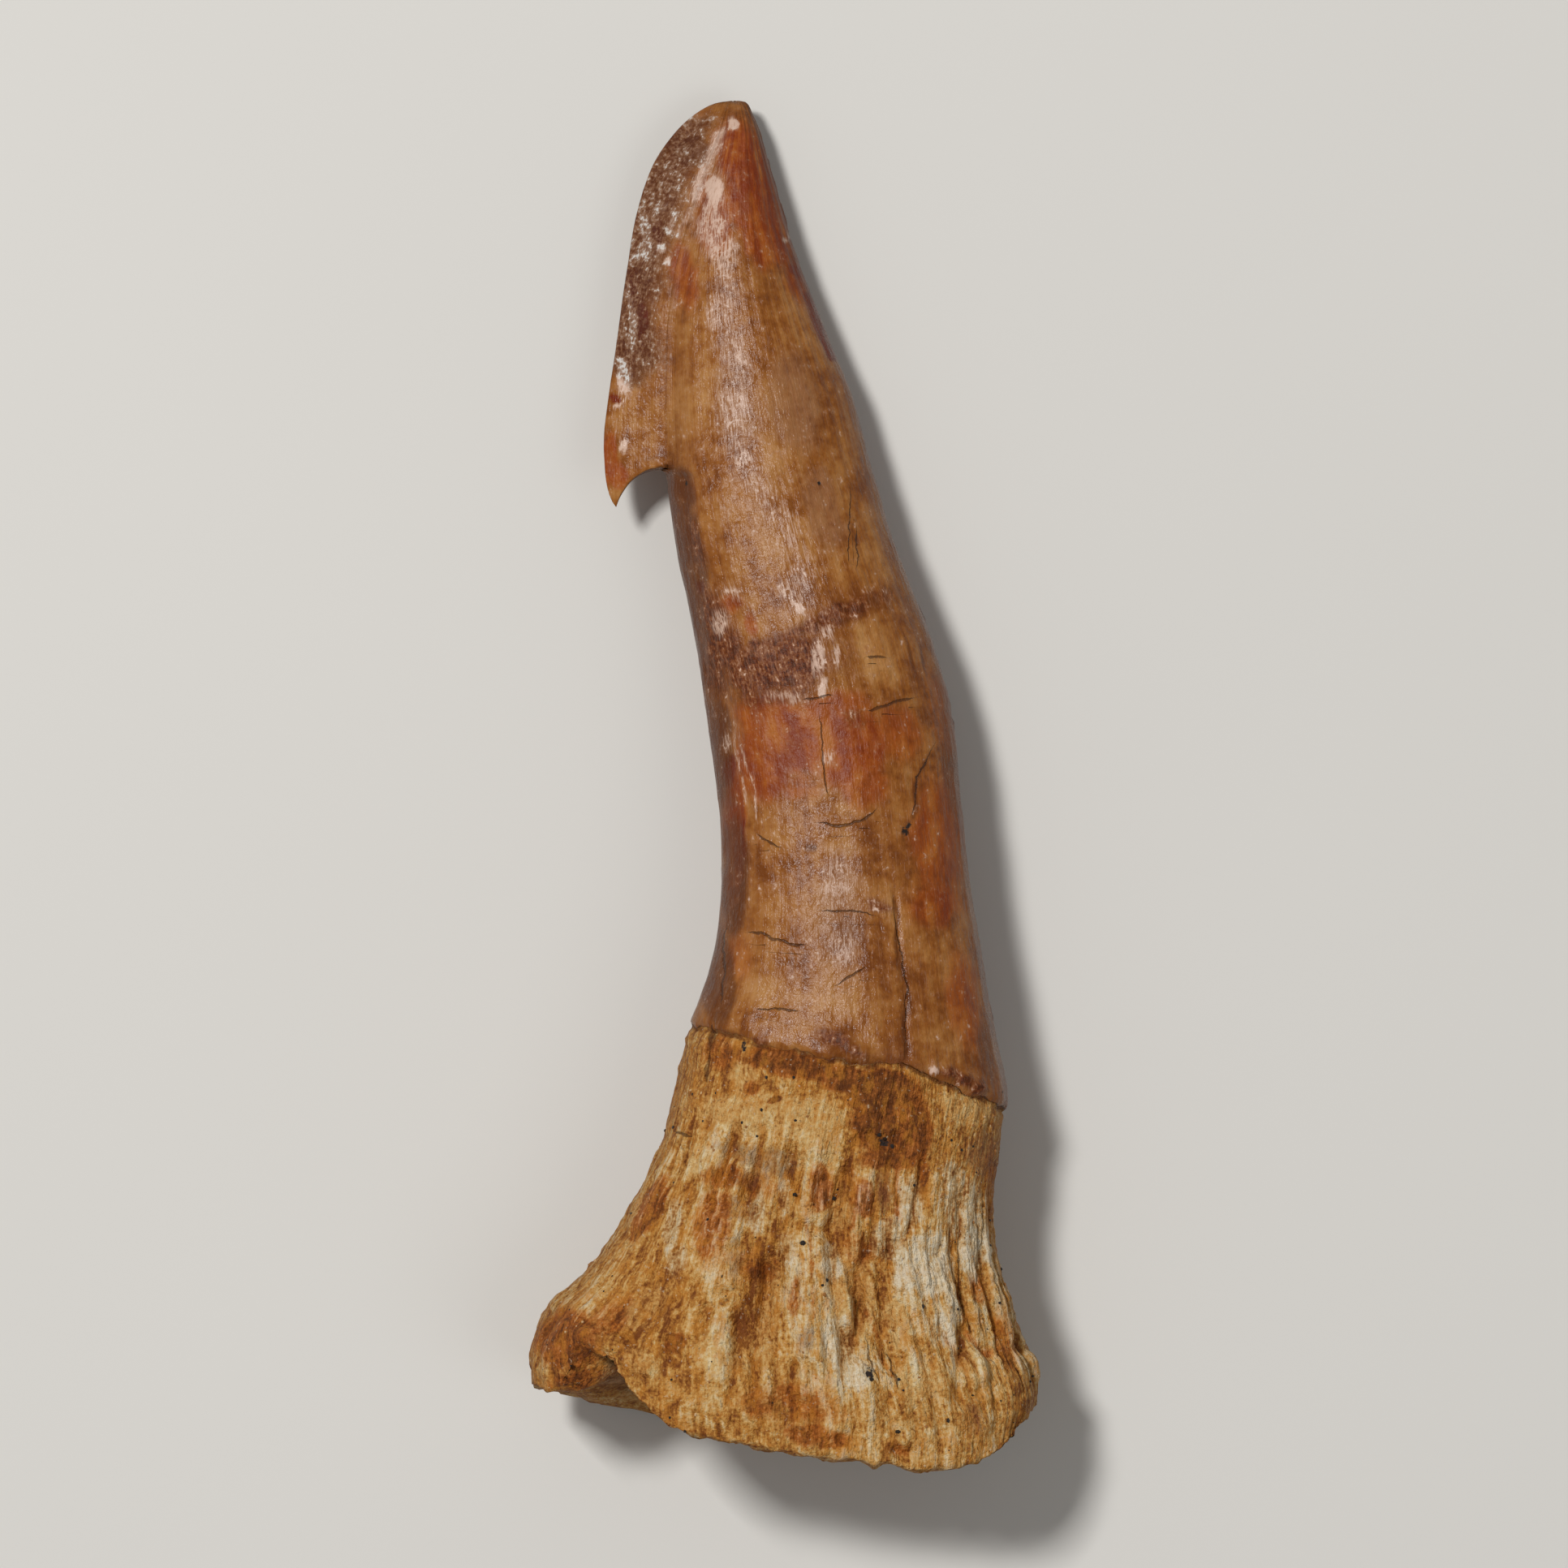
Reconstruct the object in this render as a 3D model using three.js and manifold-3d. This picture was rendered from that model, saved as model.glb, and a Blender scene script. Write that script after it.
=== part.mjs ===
// A fossil rostral tooth of a giant sawfish, lying on its back face.
// Millimetres, +Z up. X runs across the tooth and Y along it, with the crown's tip
// at +Y and the broken root at -Y. The origin is under the middle of its box.
//
// The whole tooth is one loft. Rings run round it from the tip to the rim of the
// root, turn in over the rim, and close at the bottom of the hollow in the root.
import * as THREE from 'three';
import { ParametricGeometry } from 'three/addons/geometries/ParametricGeometry.js';
import { mergeVertices } from 'three/addons/utils/BufferGeometryUtils.js';
import Module from 'manifold-3d';

// How finely the loft is cut
const SIDES = 48;
const OUTER_RINGS = 60;
const HOLLOW_RINGS = 7;

// The barb is drawn out of the corner where the blade ends
const BARB_CORNER = new THREE.Vector2(-7.95, 14.05);
const BARB_DRAW = new THREE.Vector2(0.55, -1.98);
const BARB_RADIUS = 2.9;
const BARB_TAPER = 2.1;

// The cutting edge thins towards its rim by this power
const BLADE_TAPER = 0.8;
// How tightly the blade's flank meets the round body
const CREASE = 4;

// The rim of the root sags below the line between its two ends, more on the right
const SAG = 2.2;
const SAG_SLANT = 0.53;
const SAG_BLUNTNESS = 6;
const SAG_FROM_STATION = 21;

// The broken dip in the front of the rim, and the back of the rim, worn shorter
const DIP_X = -8.6;
const DIP_DEPTH = 2.75;
const DIP_WIDTH_LEFT = 1.0;
const DIP_WIDTH_RIGHT = 2.5;
const DIP_REACH = 2.5;
const BACK_WORN = 0.3;

// The hollow in the root, inside a wall that is this share of the way to the middle
const HOLLOW_DEPTH = 3.5;
const WALL_SHARE = 0.16;
const CREST = 0.12;
const HOLLOW_ROUNDNESS = 2.4;

// The box that cuts the worn flats underneath, which the tooth lies on
const UNDERSIDE = new THREE.Vector3(40, 80, 10);

// Places along the tooth, from the tip to the rim of the root: the [x, y] of the
// left and of the right edge, the height of the middle plane between them, how far
// the front and the back swell from that plane, where the round body starts beside
// the blade, the blade's half thickness, and the power that rounds the section's ends.
const STATIONS = [
  [[-2.23, 30.07], [-2.23, 30.07], 1.75, 0.00, 0.00, -2.23, 0.00, 0.50], // tip
  [[-3.05, 29.96], [-1.66, 29.96], 1.77, 0.40, 0.40, -2.50, 0.25, 0.50],
  [[-3.91, 29.50], [-1.41, 29.50], 1.80, 0.80, 0.75, -2.62, 0.50, 0.52],
  [[-4.70, 28.80], [-1.12, 28.80], 1.85, 1.15, 1.05, -2.80, 0.70, 0.55],
  [[-5.73, 27.36], [-0.70, 27.36], 1.95, 1.60, 1.45, -3.37, 0.90, 0.58],
  [[-6.48, 25.20], [-0.12, 25.20], 2.10, 2.05, 1.85, -4.12, 1.10, 0.60],
  [[-6.98, 22.36], [0.88, 22.36], 2.35, 2.50, 2.25, -4.85, 1.20, 0.60],
  [[-7.38, 19.50], [2.00, 19.60], 2.55, 2.85, 2.60, -5.20, 1.20, 0.58],
  [[-7.77, 16.79], [2.98, 17.11], 2.75, 3.10, 2.87, -5.25, 1.15, 0.56],
  [[-8.02, 15.04], [3.45, 15.50], 2.88, 3.22, 2.96, -5.23, 1.05, 0.54],
  [[-7.95, 14.04], [3.66, 14.64], 3.05, 3.28, 3.00, -5.22, 0.90, 0.53], // corner of the barb
  [[-6.62, 13.88], [3.91, 13.75], 3.16, 3.32, 3.04, -5.22, 0.80, 0.52],
  [[-5.23, 13.62], [4.20, 12.86], 3.20, 3.34, 3.07, -5.23, 0.00, 0.51], // notch
  [[-5.09, 12.64], [4.59, 11.43], 3.40, 3.42, 3.15, -5.09, 0.00, 0.50],
  [[-4.64, 9.75], [5.27, 9.50], 3.65, 3.55, 3.30, -4.64, 0.00, 0.50],
  [[-3.84, 5.93], [6.62, 5.93], 4.00, 3.75, 3.50, -3.84, 0.00, 0.50],
  [[-3.27, 1.93], [7.45, 2.36], 4.35, 3.90, 3.70, -3.27, 0.00, 0.50],
  [[-2.84, -1.57], [7.80, -1.21], 4.70, 4.00, 3.85, -2.84, 0.00, 0.49],
  [[-2.80, -4.79], [8.20, -4.79], 5.00, 4.10, 3.95, -2.80, 0.00, 0.48],
  [[-3.05, -7.36], [8.84, -8.36], 5.30, 4.25, 4.10, -3.05, 0.00, 0.47],
  [[-3.95, -10.43], [9.73, -13.71], 5.60, 4.50, 4.35, -3.95, 0.00, 0.46], // end of the enamel
  [[-4.12, -10.86], [9.70, -14.43], 5.62, 4.30, 4.18, -4.12, 0.00, 0.46], // top of the root
  [[-4.73, -13.36], [9.48, -16.21], 5.70, 4.50, 4.40, -4.73, 0.00, 0.45],
  [[-5.70, -16.50], [9.16, -18.36], 5.78, 4.80, 4.75, -5.70, 0.00, 0.44],
  [[-7.00, -19.14], [9.25, -20.32], 5.85, 5.10, 5.10, -7.00, 0.00, 0.43],
  [[-8.62, -21.45], [9.79, -22.11], 5.90, 5.45, 5.60, -8.62, 0.00, 0.41],
  [[-10.32, -23.00], [10.48, -24.25], 5.90, 5.75, 6.02, -10.32, 0.00, 0.39],
  [[-11.09, -24.79], [11.13, -25.93], 5.90, 5.95, 6.26, -11.09, 0.00, 0.38],
  [[-11.09, -26.45], [11.00, -27.39], 5.90, 5.95, 6.26, -11.09, 0.00, 0.38], // rim
];

const NOTCH_STATION = 12;
const LAST_STATION = STATIONS.length - 1;
const wasm = await Module();
wasm.setup();

// A smooth curve through one group of each station's values.
function through(pick) {
  const points = STATIONS.map((station) => new THREE.Vector3(...pick(station)));
  return new THREE.CatmullRomCurve3(points, false, 'centripetal');
}

const leftEdge = through(([left]) => [...left, 0]);
const rightEdge = through(([, right]) => [...right, 0]);
const thickness = through(([, , middle, front, back]) => [middle, front, back]);
const section = through(([, , , , , body, edge, round]) => [body, edge, round]);

// The ring at a share of the way from the tip to the rim.
function ringAt(share) {
  const [middle, front, back] = thickness.getPoint(share).toArray();
  const [body, edge, round] = section.getPoint(share).toArray();
  const station = share * LAST_STATION;
  const left = leftEdge.getPoint(share);
  return {
    station,
    left,
    right: rightEdge.getPoint(share),
    middle,
    front,
    back,
    bodyStart: station < NOTCH_STATION ? Math.max(body, left.x) : left.x,
    edge: Math.max(edge, 0),
    round,
  };
}

// Half thickness of the round body at x, out of its full half thickness.
function bodySwell(ring, x, full) {
  const width = Math.max(ring.right.x - ring.bodyStart, 1e-6);
  const across = (2 * x - ring.bodyStart - ring.right.x) / width;
  return full * Math.max(1 - across * across, 0) ** ring.round;
}

// Half thickness of the blade at x: nothing at its edge, and fading inside the body.
function bladeSwell(ring, x) {
  const blade = ring.bodyStart - ring.left.x;
  if (blade <= 0) {
    return 0;
  }
  const inFromEdge = THREE.MathUtils.clamp((x - ring.left.x) / blade, 0, 1);
  const leftOver = (ring.right.x - x) / (ring.right.x - ring.bodyStart);
  return ring.edge * inFromEdge ** BLADE_TAPER * THREE.MathUtils.clamp(leftOver, 0, 1);
}

// How far the rim sags below the straight ring, at -1 to 1 across it.
function sag(across) {
  return SAG * (1 - across ** SAG_BLUNTNESS) * (1 + SAG_SLANT * across);
}

// How far the rim is broken back at x, on the front or on the back.
function brokenBack(x, isFront, across) {
  if (!isFront) {
    return BACK_WORN * (1 - across * across);
  }
  const width = x < DIP_X ? DIP_WIDTH_LEFT : DIP_WIDTH_RIGHT;
  return DIP_DEPTH * Math.exp(-(((x - DIP_X) / width) ** 2));
}

// Draws the blade's corner out into the barb.
function drawBarb(point) {
  const distance = BARB_CORNER.distanceTo(new THREE.Vector2(point.x, point.y));
  const pull = Math.max(1 - distance / BARB_RADIUS, 0) ** BARB_TAPER;
  point.x += BARB_DRAW.x * pull * pull;
  point.y += BARB_DRAW.y * pull;
}

// A point of the outside, at an angle round the ring from its right edge.
function outsidePoint(share, angle, point) {
  const ring = ringAt(share);
  const across = Math.cos(angle);
  const isFront = angle < Math.PI;
  const x = THREE.MathUtils.lerp(ring.left.x, ring.right.x, (across + 1) / 2);
  const body = bodySwell(ring, x, isFront ? ring.front : ring.back);
  const swell = (body ** CREASE + bladeSwell(ring, x) ** CREASE) ** (1 / CREASE);
  const nearRim = THREE.MathUtils.smoothstep(ring.station, SAG_FROM_STATION, LAST_STATION);
  const atRim = THREE.MathUtils.smoothstep(ring.station, LAST_STATION - DIP_REACH, LAST_STATION);
  const straight = THREE.MathUtils.lerp(ring.left.y, ring.right.y, (across + 1) / 2);
  const y = straight - sag(across) * nearRim + brokenBack(x, isFront, across) * atRim;
  point.set(x, y, ring.middle + (isFront ? swell : -swell));
  drawBarb(point);
}

// A point of the rim's crest and the hollow, at a share of the way to its middle.
function hollowPoint(inward, angle, point) {
  outsidePoint(1, angle, point);
  const ring = ringAt(1);
  const centre = ring.left.clone().lerp(ring.right, 0.5);
  const shrink = 1 - inward;
  const past = Math.max(inward - WALL_SHARE, 0) / (1 - WALL_SHARE);
  const deep = 1 - (1 - past) ** HOLLOW_ROUNDNESS;
  const crest = inward < WALL_SHARE ? CREST * Math.sin((inward / WALL_SHARE) * Math.PI) : 0;
  const floor = centre.y - SAG + HOLLOW_DEPTH;
  point.y = THREE.MathUtils.lerp(point.y, floor, deep) - crest;
  point.x = THREE.MathUtils.lerp(centre.x, point.x, shrink);
  point.z = THREE.MathUtils.lerp(ring.middle, point.z, shrink);
}

// The loft as a parametric surface: u runs round the tooth and v from tip to hollow.
function loft(u, v, point) {
  const angle = (u % 1) * 2 * Math.PI;
  const rimAt = OUTER_RINGS / (OUTER_RINGS + HOLLOW_RINGS);
  if (v <= rimAt) {
    outsidePoint(v / rimAt, angle, point);
  } else {
    hollowPoint((v - rimAt) / (1 - rimAt), angle, point);
  }
}

// A closed geometry as a solid: shared corners merged, and empty triangles dropped.
function solidOf(geometry) {
  geometry.deleteAttribute('normal');
  geometry.deleteAttribute('uv');
  const merged = mergeVertices(geometry);
  const corners = merged.index.array;
  const kept = [];
  for (let i = 0; i < corners.length; i += 3) {
    const [a, b, c] = corners.slice(i, i + 3);
    if (a !== b && b !== c && c !== a) {
      kept.push(a, b, c);
    }
  }
  const vertProperties = new Float32Array(merged.attributes.position.array);
  const triVerts = new Uint32Array(kept);
  return new wasm.Manifold(new wasm.Mesh({ numProp: 3, vertProperties, triVerts }));
}

// A solid back as a geometry, with flat shading normals.
function geometryOf(solid) {
  const { vertProperties, triVerts } = solid.getMesh();
  const geometry = new THREE.BufferGeometry();
  geometry.setAttribute('position', new THREE.BufferAttribute(vertProperties, 3));
  geometry.setIndex(new THREE.BufferAttribute(triVerts, 1));
  geometry.computeVertexNormals();
  return geometry;
}

// The tooth, cut flat where it lies.
function toothGeometry() {
  const whole = solidOf(new ParametricGeometry(loft, SIDES, OUTER_RINGS + HOLLOW_RINGS));
  const under = new THREE.BoxGeometry(...UNDERSIDE.toArray());
  under.translate(0, 0, -UNDERSIDE.z / 2);
  return geometryOf(whole.subtract(solidOf(under)));
}

const fossil = new THREE.MeshStandardMaterial({ color: 0xa9713f, roughness: 0.5, metalness: 0 });
const tooth = new THREE.Mesh(toothGeometry(), fossil);
tooth.name = 'tooth';

const model = new THREE.Group();
model.add(tooth);
export default model;
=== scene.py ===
"""A fossil sawfish tooth, lying on its back face on a pale floor, seen from above.

Lengths are millimetres in the part's own frame until a mesh is made, which is in
metres. X runs across the tooth, Y along it to the tip, and Z up.
"""
import math
from collections import namedtuple
from itertools import product
from types import SimpleNamespace

import bmesh
import bpy
import numpy as np
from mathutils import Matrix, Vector


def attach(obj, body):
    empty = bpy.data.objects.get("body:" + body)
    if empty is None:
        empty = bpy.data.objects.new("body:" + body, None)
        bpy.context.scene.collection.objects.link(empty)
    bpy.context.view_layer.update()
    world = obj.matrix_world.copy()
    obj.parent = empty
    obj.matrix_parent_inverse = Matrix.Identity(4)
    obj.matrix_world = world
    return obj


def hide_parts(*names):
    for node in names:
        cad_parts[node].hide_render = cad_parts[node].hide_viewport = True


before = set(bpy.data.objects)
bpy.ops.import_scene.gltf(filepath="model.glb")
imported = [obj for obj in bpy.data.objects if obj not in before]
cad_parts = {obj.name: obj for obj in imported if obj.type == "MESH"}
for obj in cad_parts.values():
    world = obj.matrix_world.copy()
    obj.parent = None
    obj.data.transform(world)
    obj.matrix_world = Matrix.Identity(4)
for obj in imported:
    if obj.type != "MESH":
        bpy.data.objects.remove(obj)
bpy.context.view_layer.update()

MM = 0.001
# Stands in for a width or length of 0, and tells when two points of a spline are one
TINY = 1e-6
SAME_POINT = 1e-4

# ---- the tooth's form ----

# Vertices round the tooth on its front and on its back, and rings along it
FRONT_SIDES = 196
BACK_SIDES = 92
OUTER_RINGS = 318
HOLLOW_RINGS = 22
# Rings to a millimetre on the shaft and on the root, as shares of those on the crown,
# and the stations between which each takes over
SHAFT_DENSITY = 0.70
ROOT_DENSITY = 1.55
SHAFT_STARTS = (12, 14)
ROOT_STARTS = (19, 22)
# The tooth's length is measured in this many steps, at these angles round it
MEASURED_STEPS = 2400
MEASURED_ANGLES = np.array([0.05, 0.3, 0.5, 0.8, 0.97, 1.0]) * np.pi

# The barb is drawn out from the corner of the blade, within a radius of it
BARB_CORNER = (-7.95, 14.05)
BARB_DRAW = (0.55, -1.98)
BARB_RADIUS = 2.9
BARB_TAPER = 2.1
# How the blade thins to its edge, and how sharply it leaves the round body
BLADE_TAPER = 0.8
CREASE = 4

# The root's rim sags in the middle, and more on the right
SAG = 2.2
SAG_SLANT = 0.53
SAG_BLUNTNESS = 6
SAG_FROM_STATION = 21

# The front of the rim is broken back at its left, and the back is worn back all along
DIP_X = -8.6
DIP_DEPTH = 2.75
DIP_WIDTH_LEFT = 1.0
DIP_WIDTH_RIGHT = 2.5
DIP_REACH = 2.5
BACK_WORN = 0.3

# The hollow in the root: the wall's share of the way to its middle, how far the wall's
# crest stands out, how many waves of the rim's outline carry on to the middle, and at
# which share of the way the other waves are gone
HOLLOW_DEPTH = 3.5
HOLLOW_ROUNDNESS = 2.4
WALL_SHARE = 0.16
CREST = 0.12
ROUNDED_WAVES = 5
ROUNDED_AT_SHARE = 0.45

# Places along the tooth, from the tip to the rim of the root: the (x, y) of the left
# and of the right edge, the height of the middle plane between them, how far the
# front and the back swell from it, and the power that rounds the section's ends. Where
# there is a blade, the last two are where the round body starts beside it, and the
# blade's half thickness.
STATIONS = [
    ((-2.23, 30.07), (-2.23, 30.07), 1.75, 0, 0, 0.5, -2.23, 0),  # tip
    ((-3.05, 29.96), (-1.66, 29.96), 1.77, 0.4, 0.4, 0.5, -2.5, 0.25),
    ((-3.91, 29.5), (-1.41, 29.5), 1.8, 0.8, 0.75, 0.52, -2.62, 0.5),
    ((-4.7, 28.8), (-1.12, 28.8), 1.85, 1.15, 1.05, 0.55, -2.8, 0.7),
    ((-5.73, 27.36), (-0.7, 27.36), 1.95, 1.6, 1.45, 0.58, -3.37, 0.9),
    ((-6.48, 25.2), (-0.12, 25.2), 2.1, 2.05, 1.85, 0.6, -4.12, 1.1),
    ((-6.98, 22.36), (0.88, 22.36), 2.35, 2.5, 2.25, 0.6, -4.85, 1.2),
    ((-7.38, 19.5), (2, 19.6), 2.55, 2.85, 2.6, 0.58, -5.2, 1.2),
    ((-7.77, 16.79), (2.98, 17.11), 2.75, 3.1, 2.87, 0.56, -5.25, 1.15),
    ((-8.02, 15.04), (3.45, 15.5), 2.88, 3.22, 2.96, 0.54, -5.23, 1.05),
    ((-7.95, 14.04), (3.66, 14.64), 3.05, 3.28, 3, 0.53, -5.22, 0.9),  # barb
    ((-6.62, 13.88), (3.91, 13.75), 3.16, 3.32, 3.04, 0.52, -5.22, 0.8),
    ((-5.23, 13.62), (4.2, 12.86), 3.2, 3.34, 3.07, 0.51),  # notch
    ((-5.09, 12.64), (4.59, 11.43), 3.4, 3.42, 3.15, 0.5),
    ((-4.64, 9.75), (5.27, 9.5), 3.65, 3.55, 3.3, 0.5),
    ((-3.84, 5.93), (6.62, 5.93), 4, 3.75, 3.5, 0.5),
    ((-3.27, 1.93), (7.45, 2.36), 4.35, 3.9, 3.7, 0.5),
    ((-2.84, -1.57), (7.8, -1.21), 4.7, 4, 3.85, 0.49),
    ((-2.8, -4.79), (8.2, -4.79), 5, 4.1, 3.95, 0.48),
    ((-3.05, -7.36), (8.84, -8.36), 5.3, 4.22, 4.08, 0.47),
    ((-3.95, -10.43), (9.73, -13.71), 5.6, 4.4, 4.26, 0.46),  # enamel ends
    ((-4.12, -10.86), (9.7, -14.43), 5.62, 4.4, 4.27, 0.46),
    ((-4.73, -13.36), (9.48, -16.21), 5.7, 4.52, 4.42, 0.45),
    ((-5.7, -16.5), (9.16, -18.36), 5.78, 4.8, 4.75, 0.44),
    ((-7, -19.14), (9.25, -20.32), 5.85, 5.1, 5.1, 0.43),
    ((-8.62, -21.45), (9.79, -22.11), 5.9, 5.45, 5.6, 0.41),
    ((-10.32, -23), (10.48, -24.25), 5.9, 5.75, 6.02, 0.39),
    ((-11.09, -24.79), (11.13, -25.93), 5.9, 5.95, 6.26, 0.38),
    ((-11.09, -26.45), (11, -27.39), 5.9, 5.95, 6.26, 0.38),  # rim
]
LAST_STATION = len(STATIONS) - 1
# The first station without a blade, at the notch under the barb
NOTCH_STATION = 12


def smooth(value, low, high):
    """0 below low, 1 above high, and a smooth rise between."""
    t = np.clip((value - low) / (high - low), 0, 1)
    return t * t * (3 - 2 * t)


def mix(a, b, share):
    """From a to b by a share of the way."""
    return a + (b - a) * share


def spline(points, share):
    """A centripetal Catmull-Rom curve through points, at each share of the way."""
    points = np.asarray(points, float)
    padded = np.vstack([2 * points[0] - points[1], points, 2 * points[-1] - points[-2]])
    place = np.asarray(share) * (len(points) - 1)
    first = np.clip(np.floor(place).astype(int), 0, len(points) - 2)
    t = (place - first)[:, None]
    p0, p1, p2, p3 = (padded[first + k] for k in range(4))
    d0, d1, d2 = (
        np.sqrt(np.linalg.norm(b - a, axis=1))[:, None]
        for a, b in ((p0, p1), (p1, p2), (p2, p3))
    )
    d1 = np.where(d1 < SAME_POINT, 1.0, d1)
    d0 = np.where(d0 < SAME_POINT, d1, d0)
    d2 = np.where(d2 < SAME_POINT, d1, d2)
    leave = ((p1 - p0) / d0 - (p2 - p0) / (d0 + d1) + (p2 - p1) / d1) * d1
    arrive = ((p2 - p1) / d1 - (p3 - p1) / (d1 + d2) + (p3 - p2) / d2) * d1
    square = -3 * p1 + 3 * p2 - 2 * leave - arrive
    cube = 2 * p1 - 2 * p2 + leave + arrive
    return p1 + leave * t + square * t**2 + cube * t**3


def rings_at(share):
    """Each ring's values as columns, so that they broadcast over the ring's angles."""
    left, right = (spline([s[side] for s in STATIONS], share).T for side in (0, 1))
    middle, front, back = spline([s[2:5] for s in STATIONS], share).T
    blades = [(*(s[6:] or (s[0][0], 0)), s[5]) for s in STATIONS]
    body, edge, power = spline(blades, share).T
    station = share * LAST_STATION
    columns = {
        "left_x": left[0],
        "left_y": left[1],
        "right_x": right[0],
        "right_y": right[1],
        "middle": middle,
        "front": front,
        "back": back,
        "body": np.where(station < NOTCH_STATION, np.maximum(body, left[0]), left[0]),
        "edge": np.maximum(edge, 0),
        "round": power,
        "station": station,
    }
    return SimpleNamespace(**{name: column[:, None] for name, column in columns.items()})


def across_body(ring, x):
    """The round body's width, and where x is across it, from -1 at its left to 1."""
    width = np.maximum(ring.right_x - ring.body, TINY)
    return width, (2 * x - ring.body - ring.right_x) / width


def swell(ring, x, full):
    """Half thickness at x: the round body and the blade beside it, joined smoothly."""
    width, across = across_body(ring, x)
    body = full * np.maximum(1 - across**2, 0) ** ring.round
    blade_width = ring.body - ring.left_x
    from_edge = np.clip((x - ring.left_x) / np.maximum(blade_width, TINY), 0, 1)
    to_right = np.clip((ring.right_x - x) / width, 0, 1)
    blade = ring.edge * from_edge**BLADE_TAPER * to_right
    blade = np.where(blade_width > TINY, blade, 0)
    return (body**CREASE + blade**CREASE) ** (1 / CREASE)


def outside(share, angle):
    """Points on the outside, by ring and by angle from the right edge over the front."""
    ring = rings_at(share)
    across = np.cos(angle)[None, :]
    is_front = (angle < np.pi)[None, :]
    side = (across + 1) / 2
    x = mix(ring.left_x, ring.right_x, side)
    thick = swell(ring, x, np.where(is_front, ring.front, ring.back))
    near_rim = smooth(ring.station, SAG_FROM_STATION, LAST_STATION)
    at_rim = smooth(ring.station, LAST_STATION - DIP_REACH, LAST_STATION)
    sag = SAG * (1 - across**SAG_BLUNTNESS) * (1 + SAG_SLANT * across)
    dip_width = np.where(x < DIP_X, DIP_WIDTH_LEFT, DIP_WIDTH_RIGHT)
    dip = DIP_DEPTH * np.exp(-(((x - DIP_X) / dip_width) ** 2))
    broken = np.where(is_front, dip, BACK_WORN * (1 - across**2))
    y = mix(ring.left_y, ring.right_y, side) - sag * near_rim + broken * at_rim
    z = ring.middle + np.where(is_front, thick, -thick)
    distance = np.hypot(x - BARB_CORNER[0], y - BARB_CORNER[1])
    pull = np.maximum(1 - distance / BARB_RADIUS, 0) ** BARB_TAPER
    return np.stack([x + BARB_DRAW[0] * pull**2, y + BARB_DRAW[1] * pull, z], axis=2)


def hollow(inward, angle):
    """Points over the rim's crest and in the hollow, by share of the way to its middle.

    The rim's outline grows rounder on the way, so that no fold reaches the middle.
    """
    rim = outside(np.array([1.0]), angle)
    waves = np.fft.rfft(rim, axis=1)
    waves[:, ROUNDED_WAVES:] = 0
    rounded = np.fft.irfft(waves, len(angle), axis=1)
    ring = rings_at(np.array([1.0]))
    centre_x = (ring.left_x + ring.right_x) / 2
    floor_y = (ring.left_y + ring.right_y) / 2 - SAG + HOLLOW_DEPTH
    inward = inward[:, None]
    rim = mix(rim, rounded, smooth(inward, 0.0, ROUNDED_AT_SHARE)[..., None])
    past = np.maximum(inward - WALL_SHARE, 0) / (1 - WALL_SHARE)
    deep = 1 - (1 - past) ** HOLLOW_ROUNDNESS
    crest = CREST * np.sin(np.minimum(inward / WALL_SHARE, 1) * np.pi)
    x = mix(rim[:, :, 0], centre_x, inward)
    y = mix(rim[:, :, 1], floor_y, deep) - crest
    z = mix(rim[:, :, 2], ring.middle, inward)
    return np.stack([x, y, z], axis=2)


def even_shares(count):
    """Shares for the rings: even along the crown, wider on the shaft, closer on the root."""
    share = np.linspace(0, 1, MEASURED_STEPS)
    steps = np.diff(outside(share, MEASURED_ANGLES), axis=0)
    steps = np.linalg.norm(steps, axis=2).mean(axis=1)
    station = share[1:] * LAST_STATION
    density = mix(1.0, SHAFT_DENSITY, smooth(station, *SHAFT_STARTS))
    density = mix(density, ROOT_DENSITY, smooth(station, *ROOT_STARTS))
    travelled = np.concatenate([[0], np.cumsum(steps * density)])
    return np.interp(np.linspace(0, travelled[-1], count), travelled, share)


def loft():
    """The smooth surface as rings of points, their angles, and each ring's two places."""
    front_angle = np.linspace(0, np.pi, FRONT_SIDES, endpoint=False)
    back_angle = np.linspace(np.pi, 2 * np.pi, BACK_SIDES, endpoint=False)
    angle = np.concatenate([front_angle, back_angle])
    share = even_shares(OUTER_RINGS)[1:]
    inward = np.linspace(0, 1, HOLLOW_RINGS + 1)[1:-1]
    points = np.concatenate([outside(share, angle), hollow(inward, angle)])
    station = np.concatenate([share * LAST_STATION, np.full(len(inward), LAST_STATION)])
    depth_in = np.concatenate([np.zeros(len(share)), inward])
    return points, angle, station, depth_in


# ---- noise ----


def lattice(corner, seed):
    """A repeatable value from -1 to 1 at each whole-numbered corner of space, by hashing."""
    x, y, z = (corner[..., k].astype(np.int64) for k in range(3))
    mixed = (x * 73856093 ^ y * 19349663 ^ z * 83492791 ^ seed * 40503) & 0xFFFFFFFF
    mixed = (mixed ^ (mixed >> 15)) * 2246822519 & 0xFFFFFFFF
    mixed = (mixed ^ (mixed >> 13)) * 3266489917 & 0xFFFFFFFF
    return (mixed ^ (mixed >> 16)) / 0x7FFFFFFF - 1


def noise(place, size, seed):
    """Smooth noise from -1 to 1 with features of about this size, or sizes by axis."""
    scaled = place / np.asarray(size, float)
    low = np.floor(scaled)
    t = scaled - low
    t = t * t * t * (t * (t * 6 - 15) + 10)
    total = 0
    for corner in product((0, 1), repeat=3):
        weight = np.abs(1 - np.array(corner) - t).prod(axis=-1)
        total = total + weight * lattice(low + corner, seed)
    return total


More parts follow.
